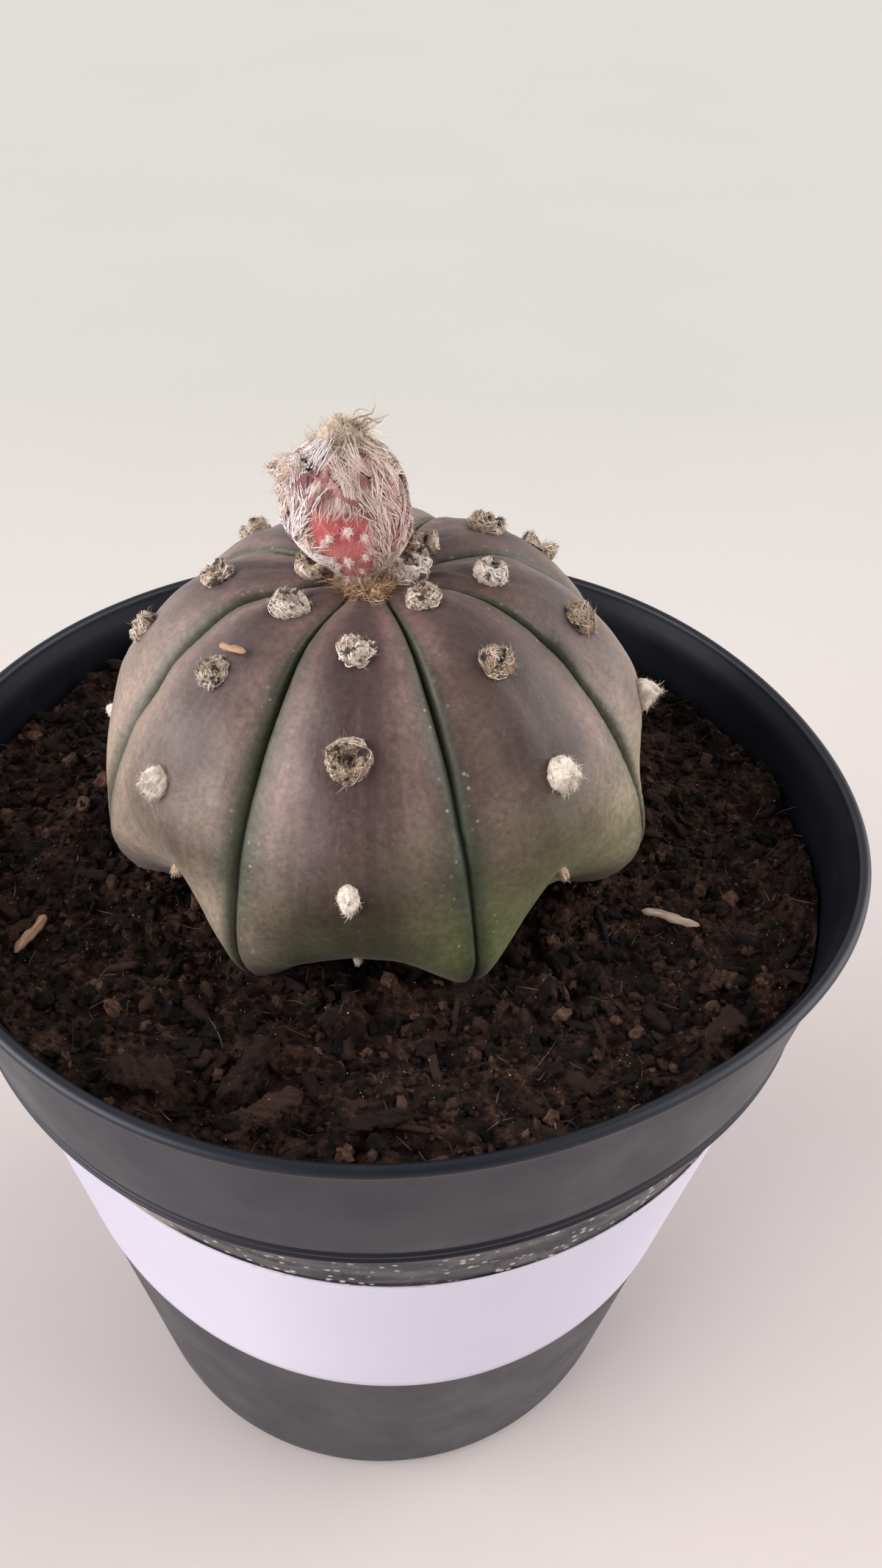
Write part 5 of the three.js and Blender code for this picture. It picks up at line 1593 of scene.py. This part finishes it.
def foot_reach(azimuth):
    """How far the cactus reaches from its middle at the height of the soil."""
    middle = Vector((*BODY_CENTRE[:2], SOIL_LEVEL + 1.2))
    out = Vector(directions(azimuth))
    return (tree.ray_cast(middle + 80 * out, -out)[0] - middle).length


FOOT_REACHES = np.array([foot_reach(azimuth) for azimuth in range(360)])


def foot_gap(x, y):
    """Distance from the cactus's side to a place on the soil, less than 0 under it."""
    dx, dy = x - BODY_CENTRE[0], y - BODY_CENTRE[1]
    azimuth = np.degrees(np.arctan2(dy, dx))
    return np.hypot(dx, dy) - np.interp(azimuth, np.arange(360), FOOT_REACHES, period=360)


OLD_WOOL = [(0.1, (112, 84, 58)), (0.3, (170, 142, 114)), (0.5, (222, 206, 192)), (0.75, (252, 244, 238))]
WHITE_WOOL = [(0.1, (196, 160, 128)), (0.4, (238, 224, 208)), (0.8, (252, 248, 242))]
TAN_WOOL = [(0.1, (130, 90, 58)), (0.35, (186, 144, 102)), (0.6, (212, 182, 144)), (0.9, (240, 226, 206))]
PINK_WOOL = [
    (0.05, (196, 150, 142)), (0.2, (214, 184, 176)), (0.42, (234, 216, 206)), (0.6, (226, 206, 182)),
    (0.8, (244, 236, 240)),
]
TUFT_WOOL = [(0.0, (240, 214, 204)), (0.6, (252, 242, 236))]
RED_SKIN = [(0.1, (124, 70, 76)), (0.5, (152, 94, 96)), (0.9, (176, 124, 122))]
DARK_TIP = [(0.1, (44, 30, 26)), (0.6, (78, 58, 48)), (0.95, (120, 98, 82))]
DRY = [(0.1, (150, 118, 98)), (0.3, (206, 182, 160)), (0.55, (234, 218, 198)), (0.9, (250, 242, 234))]
FIBRE = [(0.1, (44, 30, 25)), (0.6, (92, 68, 56)), (0.95, (150, 122, 102))]
GRIT = [(0.1, (120, 104, 90)), (0.6, (176, 160, 146)), (0.95, (226, 218, 206))]

old_wool, white_wool = make_areoles()
dress(old_wool, wool_material("old_wool", OLD_WOOL, (92, 74, 54), pit_shade=(24, 17, 17)), "cactus")
dress(white_wool, wool_material("white_wool", WHITE_WOOL, (164, 134, 96)), "cactus")
dress(make_crown(skin_height), wool_material("crown_wool", TAN_WOOL, (84, 56, 34)), "cactus")

dress(make_fruit(), fruit_material(), "fruit", "fruit")
fruit_wool, fruit_tufts = make_fruit_wool()
dress(make_red_tips(), wool_material("red_scales", RED_SKIN, (176, 128, 118), roughness=0.7), "fruit")
dress(make_dry_flecks(), wool_material("dry_flecks", DARK_TIP, (36, 26, 22), roughness=0.8), "fruit")
dress(fruit_wool, wool_material("fruit_wool", PINK_WOOL, (190, 136, 128), roughness=0.85), "fruit")
dress(fruit_tufts, wool_material("tuft_wool", TUFT_WOOL, (226, 160, 152)), "fruit")
remains = make_remains()
petals = wool_material("dried_petals", DRY, (164, 138, 118), roughness=0.8)
dress(remains, petals, "remains", "flower_remains")

earth = soil_material()
dress(make_soil(), earth, "soil", "soil")
lumps, crumbs, fibres, grit = make_crumbs()
dress(fibres, wool_material("fibres", FIBRE, (34, 24, 20), roughness=0.8), "soil")
dress(lumps, earth, "soil")
dress(crumbs, earth, "soil")
dress(grit, wool_material("grit", GRIT, (110, 96, 84), roughness=0.7), "soil")
dress(make_bark(), bark_material(), "soil")
for node, *tones in (
    ("wood_sliver_left", (122, 86, 64), (168, 128, 100), (206, 174, 150)),
    ("wood_sliver_right", (140, 112, 96), (190, 164, 146), (226, 208, 194)),
    ("wood_sliver_on_cactus", (140, 98, 72), (184, 142, 110), (214, 180, 150)),
):
    dress(make_sliver(node), wood_material(node + "_wood", *tones), "wood", node)

# ---------------------------------------------------------------- floor, light, camera


def floor_material():
    """Matt and pale, in three tones from under the camera to the far end: painted light makes the floor round
    the pot paler than the far floor, and painted shade darkens it towards the camera.
    """
    n = Material("pale_floor")
    place = n.place()
    cloud = place.noise(5, 4.0)
    fine = place.noise(160, 4.0)
    away = place.axis("Y")
    # close is painted shade towards the camera, near is painted light round the pot.
    close = n.mix(cloud, (210, 199, 199), (215, 204, 203))
    near = n.mix(cloud, (233, 222, 221), (238, 227, 225))
    far = n.mix(cloud, (206, 204, 198), (211, 209, 203))
    near = n.mix((away + 0.5).rise(0.25, 0.5), close, near)
    colour = n.mix(away.rise(0.0, 0.5), near, far)
    colour = n.mix(fine * 0.12, colour, (204, 194, 190))
    return n.finish(colour, cloud.rise(0.3, 0.7, 0.55, 0.7), n.bump(fine, strength=0.05, distance=0.0005))


FLOOR_HALF = 40000.0
corners = np.array([(-1, -1, 0), (1, -1, 0), (1, 1, 0), (-1, 1, 0)]) * FLOOR_HALF
floor = mesh_object("floor", corners, [(0, 1, 2, 3)])
floor.data.materials.append(floor_material())

# The room's light: even from in front and behind, weaker from straight above, strongest from two windows.
# Each way is an axis, its span, and the strength at the two ends of the span.
ROOM = [
    ("Y", -0.8, 0.5, 0.39, 0.84), ("Z", 0.1, 0.9, 0.0, -0.34),
    ("X", -1.0, -0.25, 0.85, 0.0), ("X", 0.3, 1.0, 0.0, 0.5),
]


def light_room():
    world = bpy.data.worlds.new("soft_room")
    bpy.context.scene.world = world
    world.use_nodes = True
    n = Nodes(world.node_tree)
    sky = n.tree.nodes["Background"]
    way = n.put("ShaderNodeTexCoord", "Generated")
    total = None
    for axis, *span in ROOM:
        inputs = dict(zip(("From Min", "From Max", "To Min", "To Max"), span))
        strength = n.put("ShaderNodeMapRange", "Result", {"Value": way.axis(axis), **inputs})
        total = strength if total is None else total + strength
    n.join(total, sky.inputs["Strength"])
    n.join((1.0, 0.98, 0.98, 1), sky.inputs["Color"])


def soft_sun(name, azimuth, height, strength, spread, colour):
    """A wide lamp at that azimuth and height, both in degrees, that shines on the part's middle."""
    data = bpy.data.lights.new(name, "SUN")
    data.energy, data.angle, data.color = strength, math.radians(spread), colour
    lamp = linked(name, data)
    a, h = math.radians(azimuth), math.radians(height)
    lamp.location = (math.cos(a) * math.cos(h), math.sin(a) * math.cos(h), math.sin(h))
    lamp.rotation_euler = lamp.location.to_track_quat("Z", "Y").to_euler()


light_room()
soft_sun("window_left", azimuth=197, height=16, strength=3.3, spread=60, colour=(1.0, 0.99, 0.98))
soft_sun("window_right", azimuth=5, height=26, strength=1.95, spread=60, colour=(1.0, 0.98, 0.96))

# The camera, from the rim, band and base curves: place over the front edge, turn, tilt and roll in radians.
CAMERA_DISTANCE, CAMERA_HEIGHT = 160.19, 124.78 + POT_HEIGHT
YAW, PITCH, ROLL = 0.049942, 0.670510, 0.045685
FOCAL_PIXELS, IMAGE_HEIGHT, SENSOR = 1700.0, 2134.0, 36.0


def make_camera():
    forward = Vector((math.sin(YAW) * math.cos(PITCH), math.cos(YAW) * math.cos(PITCH), -math.sin(PITCH)))
    level = Vector((math.cos(YAW), -math.sin(YAW), 0))
    upright = level.cross(forward)
    right = math.cos(ROLL) * level + math.sin(ROLL) * upright
    up = -math.sin(ROLL) * level + math.cos(ROLL) * upright
    lens = bpy.data.cameras.new("camera")
    lens.sensor_width = SENSOR
    lens.lens = FOCAL_PIXELS / IMAGE_HEIGHT * SENSOR
    lens.clip_start = 0.01
    camera = linked("camera", lens)
    turn = Matrix((right, up, -forward)).transposed().to_4x4()
    camera.matrix_world = Matrix.Translation((0, -CAMERA_DISTANCE * MM, CAMERA_HEIGHT * MM)) @ turn
    return camera


bpy.context.scene.camera = make_camera()
bpy.context.scene.view_settings.view_transform = "Standard"
